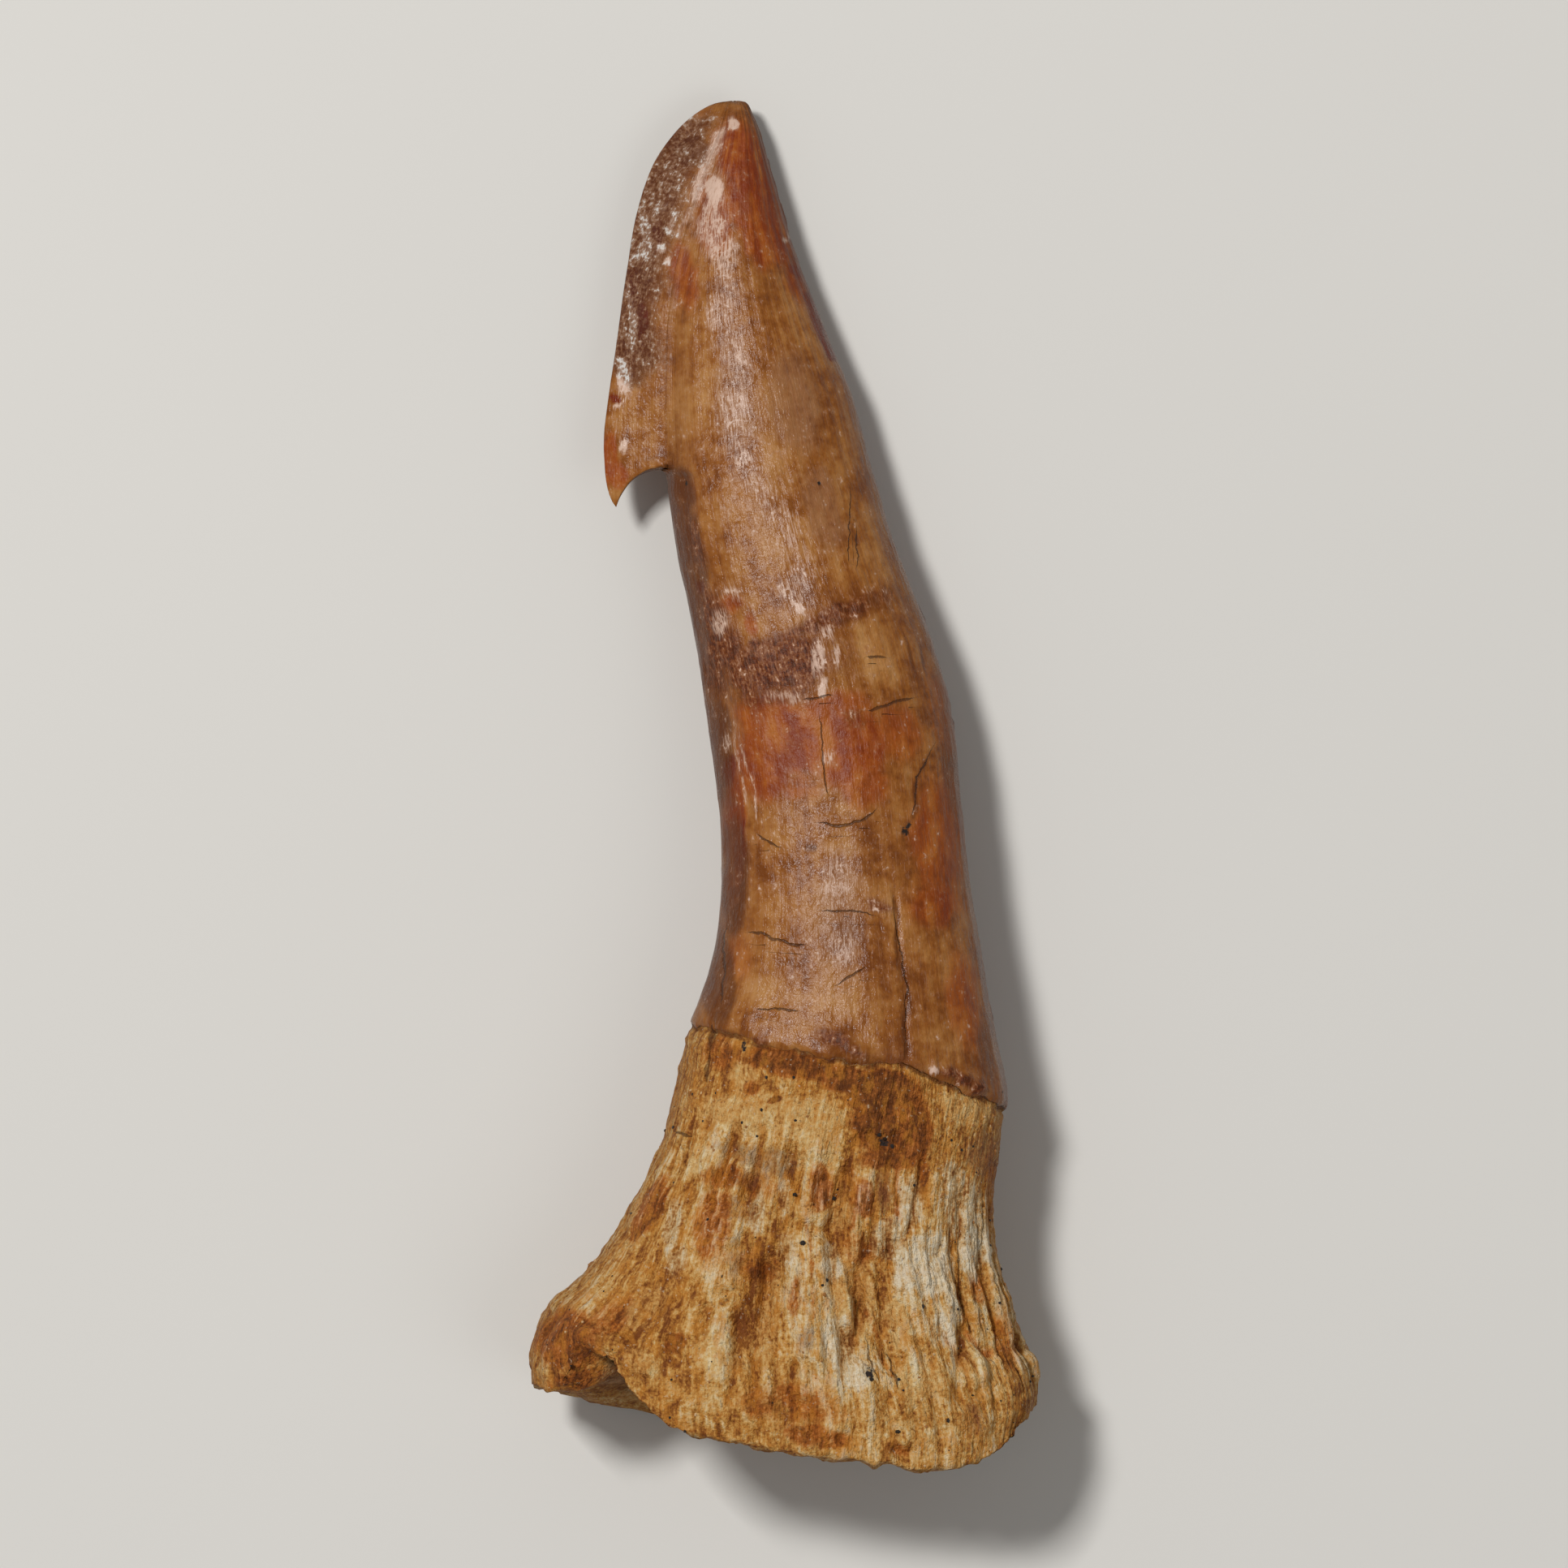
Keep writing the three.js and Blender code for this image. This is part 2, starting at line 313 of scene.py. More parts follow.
def layered(place, size, seed, layers=3):
    """Several noises added up, each half as large and half as strong as the last."""
    size = np.asarray(size, float)
    total = sum(noise(place, size / 2**k, seed + k) / 2**k for k in range(layers))
    return total / (2 - 2 ** (1 - layers))


# ---- markings ----

# A soft ellipse: its middle, its two half widths, its strength, and its turn in degrees
Blob = namedtuple("Blob", "x y across along strength turn", defaults=[0])
# It is whole to this share of its half widths, and gone at this one
BLOB_WHOLE = 0.55
BLOB_GONE = 1.35

# Where each colour lies on the front. The enamel wears orange, ember, lilac (partly a painted
# dull sheen), cream, dusk (dark stain, and painted shade along the left edge and in the notch),
# umber for packed sediment, and pearl for worn places and for painted highlights and glints. The
# root wears bone, rust, frost for chalky places, umber for mauve ones, and grit, which is rough
# and pitted and has no colour. Ink is on both.
FRONT_BLOBS = {}
FRONT_BLOBS["orange"] = [
    # the crown
    (-1.8, 27.5, 1.2, 1.9, 1.2, 17), (-1.2, 25.7, 1.5, 2, 1.2, 17), (-0.6, 24, 1.4, 1.5, 1, 17),
    (0.7, 22.2, 0.7, 1.3, 0.8, 20), (-4.4, 22.2, 0.6, 1.6, 0.8, 8), (-3.1, 24.8, 0.8, 2, 0.9, 10),
    # the barb, and two spots above the sediment
    (-7.7, 14.2, 0.4, 1.1, 1.4, -4), (-7.3, 13.5, 0.5, 0.7, 1.1), (-2.4, 7.8, 0.6, 0.4, 0.9, 20),
    (-1.4, 6.9, 0.3, 0.7, 0.8, 10),
    # the red-orange band, and the shaft below it
    (0.2, 1.8, 2.3, 1.4, 1.1, -8), (2.9, 1.5, 1.9, 1.8, 1.1, 20), (5, 2.1, 1.3, 1.4, 0.7),
    (-1, 0.6, 1.2, 1.6, 1, 12), (3.6, -0.1, 1.2, 1.2, 0.8, -20), (2.2, 3.1, 1.8, 0.9, 0.8, 6),
    (-0.6, 3, 1.8, 0.9, 0.9), (0.6, -0.3, 1.2, 0.6, 0.6), (-2.2, -2.2, 0.5, 3.2, 0.9),
    (6.6, -5.4, 1.3, 1.1, 0.9), (6.7, -2.6, 1.3, 3.2, 0.75), (-1.9, -7.6, 0.6, 1.2, 0.5),
    (7.9, -9.6, 0.8, 2.4, 0.7, 8), (7, 3, 0.6, 2.2, 0.5, 10),
]
FRONT_BLOBS["ember"] = [
    (0.4, 22.5, 0.5, 0.3, 0.8, -20), (-2.4, 26.2, 0.3, 0.8, 0.5, 8),
    (-3.8, 8.5, 0.3, 0.4, 0.9, 10), (-2.4, 0.6, 0.3, 0.7, 0.8), (-6.5, 20.9, 0.4, 1.6, 0.9, 6),
    (-5.6, 24.3, 0.3, 0.6, 0.8), (-7.4, 16.9, 0.3, 0.3, 0.8),
]
FRONT_BLOBS["umber"] = [
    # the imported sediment, and flecks above the seam
    (2.3, 5.6, 1.1, 1.3, 0.45, 8), (0.6, 5.2, 1.3, 1.3, 1, 24), (-1.2, 4.8, 1.6, 1.1, 1, 8),
    (-2.6, 5.9, 0.9, 1.1, 1, 10), (-3.1, 7.4, 0.6, 1.3, 0.8, 10), (-3.1, 4.6, 0.6, 1.2, 0.7, 10),
    (-0.6, 3.8, 2, 0.6, 0.7, 5), (2.4, 7.2, 1.7, 0.6, 0.8, 24), (4.2, 8.1, 1.1, 0.5, 0.6, 18),
    (3.2, 2.7, 0.6, 0.4, 0.5, -30), (-3.8, 10.6, 0.4, 1.3, 0.6, 10),
    (4.2, -5.4, 0.7, 0.3, 0.8, -12), (2.2, -11.2, 0.8, 0.4, 0.9, -14),
    (3.1, -11.8, 0.8, 0.3, 0.8, -22), (7.5, -12.9, 0.9, 0.3, 1, -14),
    (8.4, -13.4, 0.4, 0.3, 1, -30), (-1.1, -11.4, 0.4, 0.3, 0.7),
    # the root
    (-0.4, -16.7, 0.9, 0.7, 1), (-1.9, -16.2, 1, 0.5, 0.7, -10), (-1.5, -17.4, 1, 0.4, 0.6),
    (8.6, -16.3, 0.8, 1, 0.9), (4.4, -17.9, 0.4, 0.9, 0.9), (-2.3, -20.7, 0.5, 0.8, 0.5),
    (8.3, -27.8, 0.5, 0.9, 0.7), (-2, -18.6, 0.8, 0.6, 0.6), (1, -24.4, 0.4, 0.6, 0.8),
]
FRONT_BLOBS["lilac"] = [
    # grey-mauve patches, partly a painted dull sheen where the crown's and the shaft's highlight
    # lies
    (0.4, 16.6, 1.2, 2.4, 0.8, 10), (1.7, 12, 0.9, 2, 0.8, 12), (-2.2, 17, 0.9, 2.6, 0.6, 8),
    (2.5, -5.8, 1.1, 2.8, 0.7), (-3.4, 6.6, 0.5, 1.8, 0.7, 10),
]
FRONT_BLOBS["pearl"] = [
    # the worn ridge, pale wear under a painted highlight
    (-3.1, 26, 0.4, 0.7, 1.2), (-3.3, 25.2, 0.5, 0.4, 0.8), (-3.2, 24.4, 0.7, 0.8, 0.7, 10),
    (-2.7, 23.2, 0.7, 1.2, 0.7, 10), (-3, 20.6, 0.35, 0.9, 0.65, 8), (-2, 19, 0.3, 1, 0.6, 6),
    # the tip, and down the crown, with a painted glint by its right edge
    (-2.3, 29, 0.3, 0.3, 1.1, -30), (-1.7, 14.1, 0.4, 0.4, 0.8), (-2.2, 16.4, 0.8, 1.3, 0.55, 8),
    (-0.8, 12.5, 0.6, 0.9, 0.45, 8), (0.16, 24.07, 0.12, 0.14, 1.5),
    (0.2, 8.3, 0.5, 0.4, 0.7, -30), (0.6, 7.6, 0.4, 0.3, 1.1, -30), (-2.3, 8.4, 0.5, 0.3, 0.6),
    # on the sediment, then down to the seam, and a painted glint on the barb
    (-2.9, 7, 0.4, 0.6, 0.7, 12), (1.5, 5.5, 0.3, 0.8, 0.7), (1.75, 4.15, 0.24, 0.4, 1.2, -8),
    (1.9, 6.5, 0.4, 0.3, 0.6, 10), (2.3, 5.4, 0.2, 0.6, 0.7, -6), (0.3, 3.7, 1, 0.2, 0.5, 4),
    (1.9, 1.1, 0.3, 0.3, 0.6), (-2.6, 1.8, 0.2, 0.4, 0.6), (2.3, -4.3, 0.7, 1.2, 0.5),
    (2.6, -7.4, 0.6, 0.8, 0.5), (6.55, -12.55, 0.22, 0.2, 1.4), (-7, 14.8, 0.2, 0.3, 1, -6),
    # the broken flank's pale glitter, partly painted glints
    (-5.4, 23.6, 0.3, 0.2, 1.6, -20), (-5.1, 23, 0.2, 0.2, 1.3), (-6.2, 23.9, 0.3, 1.1, 0.9, 6),
    (-5, 24.6, 0.2, 0.6, 0.8, 6), (-6.4, 23.2, 0.3, 0.3, 1), (-5.6, 25.3, 0.4, 0.2, 0.8),
    (-6.8, 20.6, 0.2, 1.6, 0.9, 4), (-7, 17.9, 0.3, 0.9, 1.1, 3),
]
FRONT_BLOBS["cream"] = [
    (-3.8, 18.2, 0.9, 2.2, 0.8, 8), (-5.8, 15.5, 1.4, 0.9, 0.3), (3.7, 6.2, 0.5, 0.9, 0.9, 8),
    (4.3, 4.6, 0.7, 0.9, 0.9, 8), (5.9, 3.6, 0.3, 0.3, 0.7), (1.6, -0.6, 0.6, 0.5, 0.8),
    (3.1, -1.1, 0.9, 0.3, 0.9, 6), (-7.4, 12.6, 0.3, 0.5, 1), (0.1, -2.4, 1, 0.6, 0.5),
    (2.9, -2.8, 1.2, 0.6, 0.5), (-0.5, -9.3, 1.4, 0.7, 0.9), (6.6, -11.4, 1.3, 1.1, 0.7),
    (2.4, -9.9, 1.2, 0.6, 0.5), (-0.2, 13, 0.6, 2.5, 0.5, 10),
]
FRONT_BLOBS["dusk"] = [
    # the left edge, dark stain with painted shade where it falls away, then the right edge, the
    # tip and a crack
    (-4.7, 12.7, 0.7, 1.3, 1.1, 6), (-4.2, 10, 0.8, 2.4, 1.2, 10), (-3.6, 6.2, 0.7, 2.4, 1.1, 10),
    (-2.8, 1.2, 0.5, 3, 0.8, 8), (-2.8, -8.6, 0.7, 2.4, 1.1, 2), (-2.2, -4.2, 0.6, 2.8, 1),
    (5.6, 5.6, 0.1, 1.3, 0.6, 18), (6.2, 5.4, 0.1, 0.9, 0.6, 18), (-4.2, 27.9, 1, 0.8, 0.8, -20),
    (7.3, 0.6, 0.4, 2.4, 0.5, 8), (8.9, -12, 0.4, 1.8, 0.6, 6), (1.3, -2.9, 0.3, 0.1, 0.9),
]
FRONT_BLOBS["bone"] = [
    (-1.9, -12.8, 0.6, 0.6, 0.9), (0.3, -13.2, 0.6, 0.3, 0.1), (-1.3, -14.5, 2.1, 0.9, 1.3),
    (1.2, -14.8, 1.5, 1, 1.3), (1.5, -16.2, 0.9, 0.9, 1.2), (-3.4, -14.6, 0.5, 1, 0.5, -10),
    (-3.8, -16.5, 0.6, 0.9, 0.7, -10), (7.9, -14.3, 1.1, 0.6, 1.8, -20),
    (-2.6, -24.9, 1.6, 1, 0.9), (-6.2, -25.4, 1, 0.6, 0.9, -24), (-0.8, -22.9, 0.5, 2.2, 2.2),
    (2.4, -18.9, 0.5, 0.7, 1), (0.5, -19, 0.5, 1.1, 0.5), (3, -22.6, 1, 2.2, 1.1),
    (5.6, -26.2, 0.7, 1.1, 0.9), (8.3, -25.6, 0.8, 0.9, 1.1), (6.4, -26, 0.6, 0.9, 0.6),
    (6, -28.2, 2.6, 1.1, 0.4), (5, -23.6, 0.6, 1.3, 0.8, 12), (-6, -23, 1.4, 0.8, 0.8, 36),
    (-3, -27.2, 1.2, 0.5, 0.5, -10),
]
FRONT_BLOBS["rust"] = [
    (-2.7, -11.9, 0.9, 0.9, 0.8, -8), (0.2, -12.3, 2.2, 0.6, 1.2, -8), (2.6, -13, 1.3, 0.7, 1.3),
    (4.4, -13.6, 1.7, 1.1, 1.3), (4.1, -15.2, 1.2, 1.1, 1.3), (5.6, -15.4, 0.8, 1.6, 1.1),
    (4.6, -16.5, 1.4, 0.6, 1.2), (-1.5, -13.4, 0.4, 0.4, 0.8), (-0.3, -13.9, 0.3, 0.2, 1.7),
    (-2.7, -17.3, 1.2, 0.6, 0.9), (-3.1, -19.4, 0.9, 1.5, 1.1, -6), (-1, -17.7, 1.1, 0.6, 0.6),
    (1.6, -17.8, 0.5, 1.1, 1.3), (3.4, -18.2, 0.5, 0.9, 1.5), (3.3, -20.4, 0.8, 0.9, 0.5),
    (-1.9, -21.1, 1.7, 0.8, 0.55), (4.3, -22.2, 0.8, 0.5, 0.4), (0.5, -22.6, 0.3, 0.9, 1),
    (-2.6, -23.3, 1, 0.7, 0.3), (-4.8, -24.6, 0.5, 0.6, 1), (-9.4, -24.5, 1.6, 1.4, 1),
    (-7.6, -23.4, 1.4, 0.8, 0.7, 34), (8.5, -22.2, 0.4, 0.9, 0.9, 14),
    (9.7, -24.6, 0.5, 1.6, 0.7, 10), (9, -17.8, 0.3, 2.2, 0.6, -4),
    (-5.9, -18.6, 0.5, 1.6, 1.1, -28), (0.4, -27.2, 2.4, 1, 0.7, -6),
    (1.4, -28.6, 1.9, 0.5, 0.9, -12), (4.9, -29.2, 0.6, 0.3, 0.7, -10),
    (-8.9, -26.3, 1.6, 0.6, 0.9),
]
FRONT_BLOBS["grit"] = [
    (-3.1, -22.8, 1.5, 1.4, 1), (-2.2, -20.6, 1.6, 1.3, 0.8), (-2.4, -18.6, 1.4, 0.9, 0.8),
    (0.2, -27, 2.5, 1.1, 0.9, -6), (4.2, -15.4, 1.4, 1.4, 0.5), (0, -19.8, 1, 0.9, 0.6),
    (1.8, -28.9, 2, 0.5, 0.8, -12), (3.4, -20.6, 0.8, 0.9, 0.4),
]
FRONT_BLOBS["ink"] = [
    (5.4, -2.2, 0.2, 0.36, 0.8, -28), (4.3, -15.7, 0.24, 0.2, 0.7), (-4.45, 13.1, 0.1, 0.1, 1),
    (1.45, 12.95, 0.07, 0.07, 0.9), (3.75, -25.8, 0.16, 0.36, 0.9, 26),
    (-1.75, -11.5, 0.12, 0.3, 0.7),
]
FRONT_BLOBS["frost"] = [
    (-4.9, -19.4, 0.4, 1.4, 0.9, -12), (-4.7, -21, 0.5, 0.8, 0.9, -14),
    (-1.2, -18.9, 0.35, 1, 1.2), (0.1, -18.3, 0.3, 1, 0.7), (5.6, -18.4, 0.5, 1.2, 1),
    (4.6, -19.9, 0.7, 0.9, 2.1), (7.3, -17.3, 0.4, 0.7, 1), (7.8, -18.8, 0.9, 1.5, 1),
    (6.4, -21.1, 1.2, 1.3, 1.3), (8.3, -20.2, 0.6, 1.5, 1.2, 4), (7.5, -22.7, 0.5, 1, 1.2, 10),
    (5.5, -21.5, 0.7, 0.8, 1), (0.2, -20.4, 0.5, 0.8, 0.6), (2.1, -21, 0.4, 0.9, 1.3),
    (2.5, -24.6, 0.6, 1.2, 2.3, 4), (3, -25.8, 0.6, 0.7, 0.9, 10), (6.8, -24, 0.6, 0.8, 0.6, 10),
]

# Soft lines of colour on the front, as points, a width and a strength
FRONT_STROKES = {}
FRONT_STROKES["ember"] = [
    ([(1, 21.4), (1.35, 20.5), (1.9, 19.2), (2.12, 18.7)], 0.24, 1.3),
    ([(-1.85, -1.7), (-1.88, -2.6), (-1.8, -3.3)], 0.1, 0.8),
]
FRONT_STROKES["pearl"] = [
    ([(-2.85, 28.6), (-3.35, 27.3), (-3.72, 26.5), (-4.02, 25.6)], 0.3, 0.95),
    ([(-4.02, 25.6), (-4.25, 24.9), (-4.6, 24.1)], 0.2, 0.6),
    # a painted highlight along the crown's ridge, over pale wear
    ([(-3.2, 27), (-3.1, 24), (-2.5, 21), (-2.1, 17), (-2.1, 15), (-1.2, 13),
      (0.2, 11), (0.8, 9), (0.7, 7.8)], 0.75, 0.42),
    ([(-6.9, 16.95), (-7.15, 16.7), (-7.45, 16.42)], 0.07, 1.2),
    ([(-2.4, 2.6), (-2.1, 1.2), (-1.9, 0.2), (-1.72, -1)], 0.07, 0.7),
    ([(-1.92, 2), (-1.5, 0.3), (-1.22, -1.6)], 0.07, 0.7),
]
FRONT_STROKES["umber"] = [
    ([(-1.3, 5.9), (-0.4, 6.15), (0.6, 6.6), (1.6, 7.1), (2.6, 7.7)], 0.28, 1),
]
FRONT_STROKES["dusk"] = [
    # painted shade in the notch under the barb
    ([(-5.9, 14.2), (-5.4, 14.42), (-4.95, 14.35), (-4.6, 13.9)], 0.14, 0.45),
    ([(6.9, 1.45), (6.25, 0.9), (5.82, 0), (5.6, -1.6)], 0.09, 0.7),
    ([(4.9, -5), (5.05, -7.6), (5.45, -9.6), (5.3, -10.5), (5.4, -12)], 0.11, 0.8),
]
FRONT_STROKES["rust"] = [
    ([(2.95, -16.5), (3, -18), (2.9, -19.5)], 0.22, 0.9),
    ([(5, -16.8), (5, -18), (4.95, -19.2)], 0.2, 1),
    ([(6.1, -16.2), (6.15, -18)], 0.2, 0.9),
    ([(7, -24), (7.35, -24.7), (7.65, -25.5)], 0.18, 0.9),
    ([(8.1, -24.1), (8.5, -24.7), (9.1, -25.1)], 0.18, 0.9),
    ([(1.1, -17.5), (1.15, -20), (1.3, -23.5)], 0.14, 0.8),
    ([(3.5, -22.6), (4.2, -24.5), (4.9, -26.2)], 0.12, 0.9),
]
FRONT_STROKES["bone"] = [
    ([(-2, -15.8), (-1.75, -16.2), (-1.5, -16.65)], 0.14, 1.3),
]

# How much of the hidden back wears each of the same colours; none where it is below 0
BACK_SHARE = {
    "orange": 0.5, "ember": 0.15, "umber": 0.3, "lilac": 0.4, "pearl": 0.05, "cream": 0.4,
    "dusk": 0.2, "bone": 0.5, "rust": 0.45, "grit": 0.4, "ink": -0.5, "frost": 0.35,
}
# The back's patches: the seed of the first, their width and length, how much their
# share lifts the noise, and where in the noise their edges lie
BACK_SEED = 91
PATCH_SIZE = (1.6, 3.6, 1.6)
PATCH_LIFT = 0.9
PATCH_EDGE = (0.30, 0.62)

# Where the enamel ends on the front, as a line across the tooth
SEAM = [
    (-4.6, -10.4), (-4.02, -10.75), (-3, -10.95), (-1.9, -11.1), (-1, -11.5), (0.5, -11.62),
    (1.3, -11.95), (2.6, -12.2), (3.4, -12.48), (4.3, -12.3), (5.2, -12.25), (6, -12.62),
    (6.55, -13), (7.4, -13.38), (8.4, -13.75), (9.1, -14.1), (9.7, -14.35), (10.6, -14.7),
]
# The enamel stands this far above the bone, rising between these two places beside the
# seam, with a groove along its edge
SEAM_STEP = 0.20
STEP_FROM = (-2.6, -0.1)
SEAM_GROOVE = 0.12
SEAM_HALF_WIDTH = 0.17


def blob_mask(x, y, mark):
    """1 in the middle of a soft ellipse, and 0 outside it."""
    turn = math.radians(mark.turn)
    dx, dy = x - mark.x, y - mark.y
    across = (dx * math.cos(turn) + dy * math.sin(turn)) / mark.across
    along = (dy * math.cos(turn) - dx * math.sin(turn)) / mark.along
    return mark.strength * smooth(-np.hypot(across, along), -BLOB_GONE, -BLOB_WHOLE)


def beside_line(x, y, points):
    """Each place's distance from a line through points, its side, and how far along."""
    nearest = np.full(x.shape, np.inf)
    side, along = np.ones(x.shape), np.zeros(x.shape)
    for index, ((ax, ay), (bx, by)) in enumerate(zip(points, points[1:])):
        run_x, run_y = bx - ax, by - ay
        share = ((x - ax) * run_x + (y - ay) * run_y) / (run_x**2 + run_y**2)
        share = np.clip(share, 0, 1)
        off_x, off_y = x - ax - share * run_x, y - ay - share * run_y
        distance = np.hypot(off_x, off_y)
        closer = distance < nearest
        nearest = np.where(closer, distance, nearest)
        side = np.where(closer, np.where(run_x * off_y < run_y * off_x, -1, 1), side)
        along = np.where(closer, (index + share) / (len(points) - 1), along)
    return nearest, side, along


def line_mask(x, y, points, width):
    """1 along a soft line, and 0 away from it."""
    return np.exp(-((beside_line(x, y, points)[0] / width) ** 2))


def mark_mask(x, y, blobs, strokes=()):
    """The strongest of some marks at each place."""
    mask = np.zeros(x.shape)
    for blob in blobs:
        mask = np.maximum(mask, blob_mask(x, y, Blob(*blob)))
    for points, width, strength in strokes:
        mask = np.maximum(mask, strength * line_mask(x, y, points, width))
    return mask


def back_mask(points, share, seed):
    """Patches, longer than they are wide, over about this share of the back."""
    return smooth(layered(points, PATCH_SIZE, seed) + PATCH_LIFT * share, *PATCH_EDGE)


def masks_of(points, front):
    """Each colour's mask, on warped places so that no edge is a clean ellipse."""
    wide = noise(points, 1.2, 11) * 0.16
    x = points[..., 0] + wide + layered(points, 0.5, 12) * 0.12
    y = points[..., 1] + layered(points, (0.8, 1.2, 0.8), 21) * 0.26
    masks = {}
    for seed, (name, blobs) in enumerate(FRONT_BLOBS.items(), BACK_SEED):
        ahead = mark_mask(x, y, blobs, FRONT_STROKES.get(name, ()))
        behind = back_mask(points, BACK_SHARE[name], seed)
        masks[name] = mix(behind, ahead, front)
    return masks


# ---- relief on the form ----

# The fan of ribs on the root: their width where the tooth is twice GRAIN_RADIUS wide,
# their length, and their height
RIB_WIDTH = 0.46
RIB_LENGTH = 5.5
RIB_HEIGHT = 0.38
FINE_RIB_WIDTH = 0.24
FINE_RIB_HEIGHT = 0.26
GROOVE_DEPTH = 0.36
GRAIN_RADIUS = 5.0
# The ribs start between these two distances below the seam, fade between these two
# below Y = 0, and start between these two places from the left. They are strongest about
# a place across the root, which is this wide to each side
RIBS_BELOW_SEAM = (2.6, 7.0)
RIBS_FADE_DOWN = (25.0, 27.5)
RIBS_FROM_LEFT = (-5.5, -2.0)
RIBS_MIDDLE_X = 2.0
RIBS_MIDDLE_WIDTH = 3.6
# How far out the blade may reach, in half widths of the round body
BLADE_REACH = 2.5
# The ribs lean to the right of the root's own flare, between these two places along it
RIB_LEAN = 0.2
LEAN_FROM_Y = -17.0
LEAN_TO_Y = -27.0


def along_surface(points):
    """How far each point is from the tip, along its own side of the tooth."""
    steps = np.linalg.norm(np.diff(points, axis=0), axis=2)
    start = np.linalg.norm(points[:1] - points[:1].mean(axis=1, keepdims=True), axis=2)
    return np.concatenate([start, start + np.cumsum(steps, axis=0)])


def grain_of(points, ring, angle, depth_in):
    """A place on a straight cylinder, so that noise on it runs along the tooth.

    The cylinder closes to a point in the hollow, and the blade lies flat beside it.
    """
    _, across = across_body(ring, points[..., 0])
    across = np.maximum(across, -BLADE_REACH)
    lean = RIB_LEAN * smooth(-points[..., 1], -LEAN_FROM_Y, -LEAN_TO_Y)
    reach = ((1 - depth_in) ** 2)[:, None]
    across = across - lean * (reach - np.minimum(across**2, reach))
    around = np.sqrt(np.maximum(reach - across**2, 0)) * np.sign(np.sin(angle))[None, :]
    along = along_surface(points)
    return np.stack([GRAIN_RADIUS * across, along, GRAIN_RADIUS * around], axis=2)


def seam_offset(points, front):
    """How far below the enamel's edge each point is: above 0 is on the root."""
    line = np.array(SEAM)
    edge = np.interp(points[..., 0], line[:, 0], line[:, 1])
    ragged = layered(points, 0.8, 31) * 0.22 + noise(points, 2.6, 35) * 0.16 * (1 - front)
    return edge + ragged - points[..., 1]


def normals_of(points):
    """Unit normals of the rings, pointing out."""
    along = np.gradient(points, axis=0)
    around = np.roll(points, -1, axis=1) - np.roll(points, 1, axis=1)
    normal = np.cross(around, along)
    length = np.linalg.norm(normal, axis=2, keepdims=True)
    return normal / np.maximum(length, TINY)


# Ridges and grooves on the front, as points, a width and a height (a groove's is below 0)
FRONT_LINES = [
    ([(2.2, -20.6), (2.65, -21.7), (2.85, -22.6), (3.05, -24)], 0.12, 0.24),
    ([(2.85, -21.6), (3.22, -24), (3.38, -25.2)], 0.1, -0.2),
    ([(1, -22.2), (1.22, -24)], 0.09, 0.2),
    ([(1.2, -21.8), (1.42, -24.2)], 0.1, -0.18),
    ([(-0.25, -18.4), (-0.3, -20), (-0.12, -22), (-0.1, -24.2)], 0.11, -0.18),
    ([(1.75, -22.8), (2, -25.6)], 0.1, -0.14),
    ([(3.55, -22.6), (4.15, -24.4), (4.85, -26.3)], 0.09, -0.18),
    ([(4.05, -23), (4.55, -24.4), (5.05, -25.8)], 0.08, -0.16),
    ([(4.9, -16.8), (5.02, -18.2), (5, -20.2)], 0.14, -0.18),
    ([(4.2, -19.2), (4.35, -20.8), (4.8, -22.4)], 0.12, -0.12),
    ([(6.05, -16.6), (5.95, -19.4)], 0.12, -0.14),
    ([(7.6, -17), (7.7, -18.8), (7.55, -20.6)], 0.12, -0.13),
    ([(5.2, -22.4), (5.75, -23.9), (6.2, -25.2), (6.6, -26.8), (6.8, -28.6)], 0.14, -0.18),
    ([(6.9, -23.6), (7.32, -24.6), (7.64, -25.5), (7.75, -27.2)], 0.18, -0.22),
    ([(8, -23.9), (8.5, -24.7), (9.15, -25.15)], 0.19, -0.26),
    ([(4.6, -26.6), (5, -29.6)], 0.2, -0.12),
    ([(9.2, -26.6), (9.3, -28.8)], 0.16, -0.14),
    ([(4.9, -5), (5.1, -8), (5.4, -9.6), (5.3, -10.7), (5.4, -12.1)], 0.13, -0.11),
    ([(-3.05, -10.7), (-3.15, -11.4), (-3.35, -12), (-3.5, -13.3)], 0.09, -0.24),
    ([(-2, -15.75), (-1.75, -16.2), (-1.5, -16.65)], 0.11, 0.18),
    ([(-2.2, -15.95), (-1.95, -16.4), (-1.7, -16.8)], 0.11, -0.2),
    ([(-4.45, 13.2), (-4.25, 10.5), (-3.35, 6.4), (-2.3, 1)], 0.45, -0.12),
    ([(-1.3, 6), (-0.4, 6.25), (0.6, 6.7), (1.4, 7.05), (2.05, 7.45)], 0.13, -0.1),
    ([(1.75, 3.95), (1.8, 4.6)], 0.2, 0.1),
    ([(-2.6, 28.6), (-3.3, 27.2), (-3.85, 25.8), (-4.2, 24.6)], 0.18, 0.07),
]

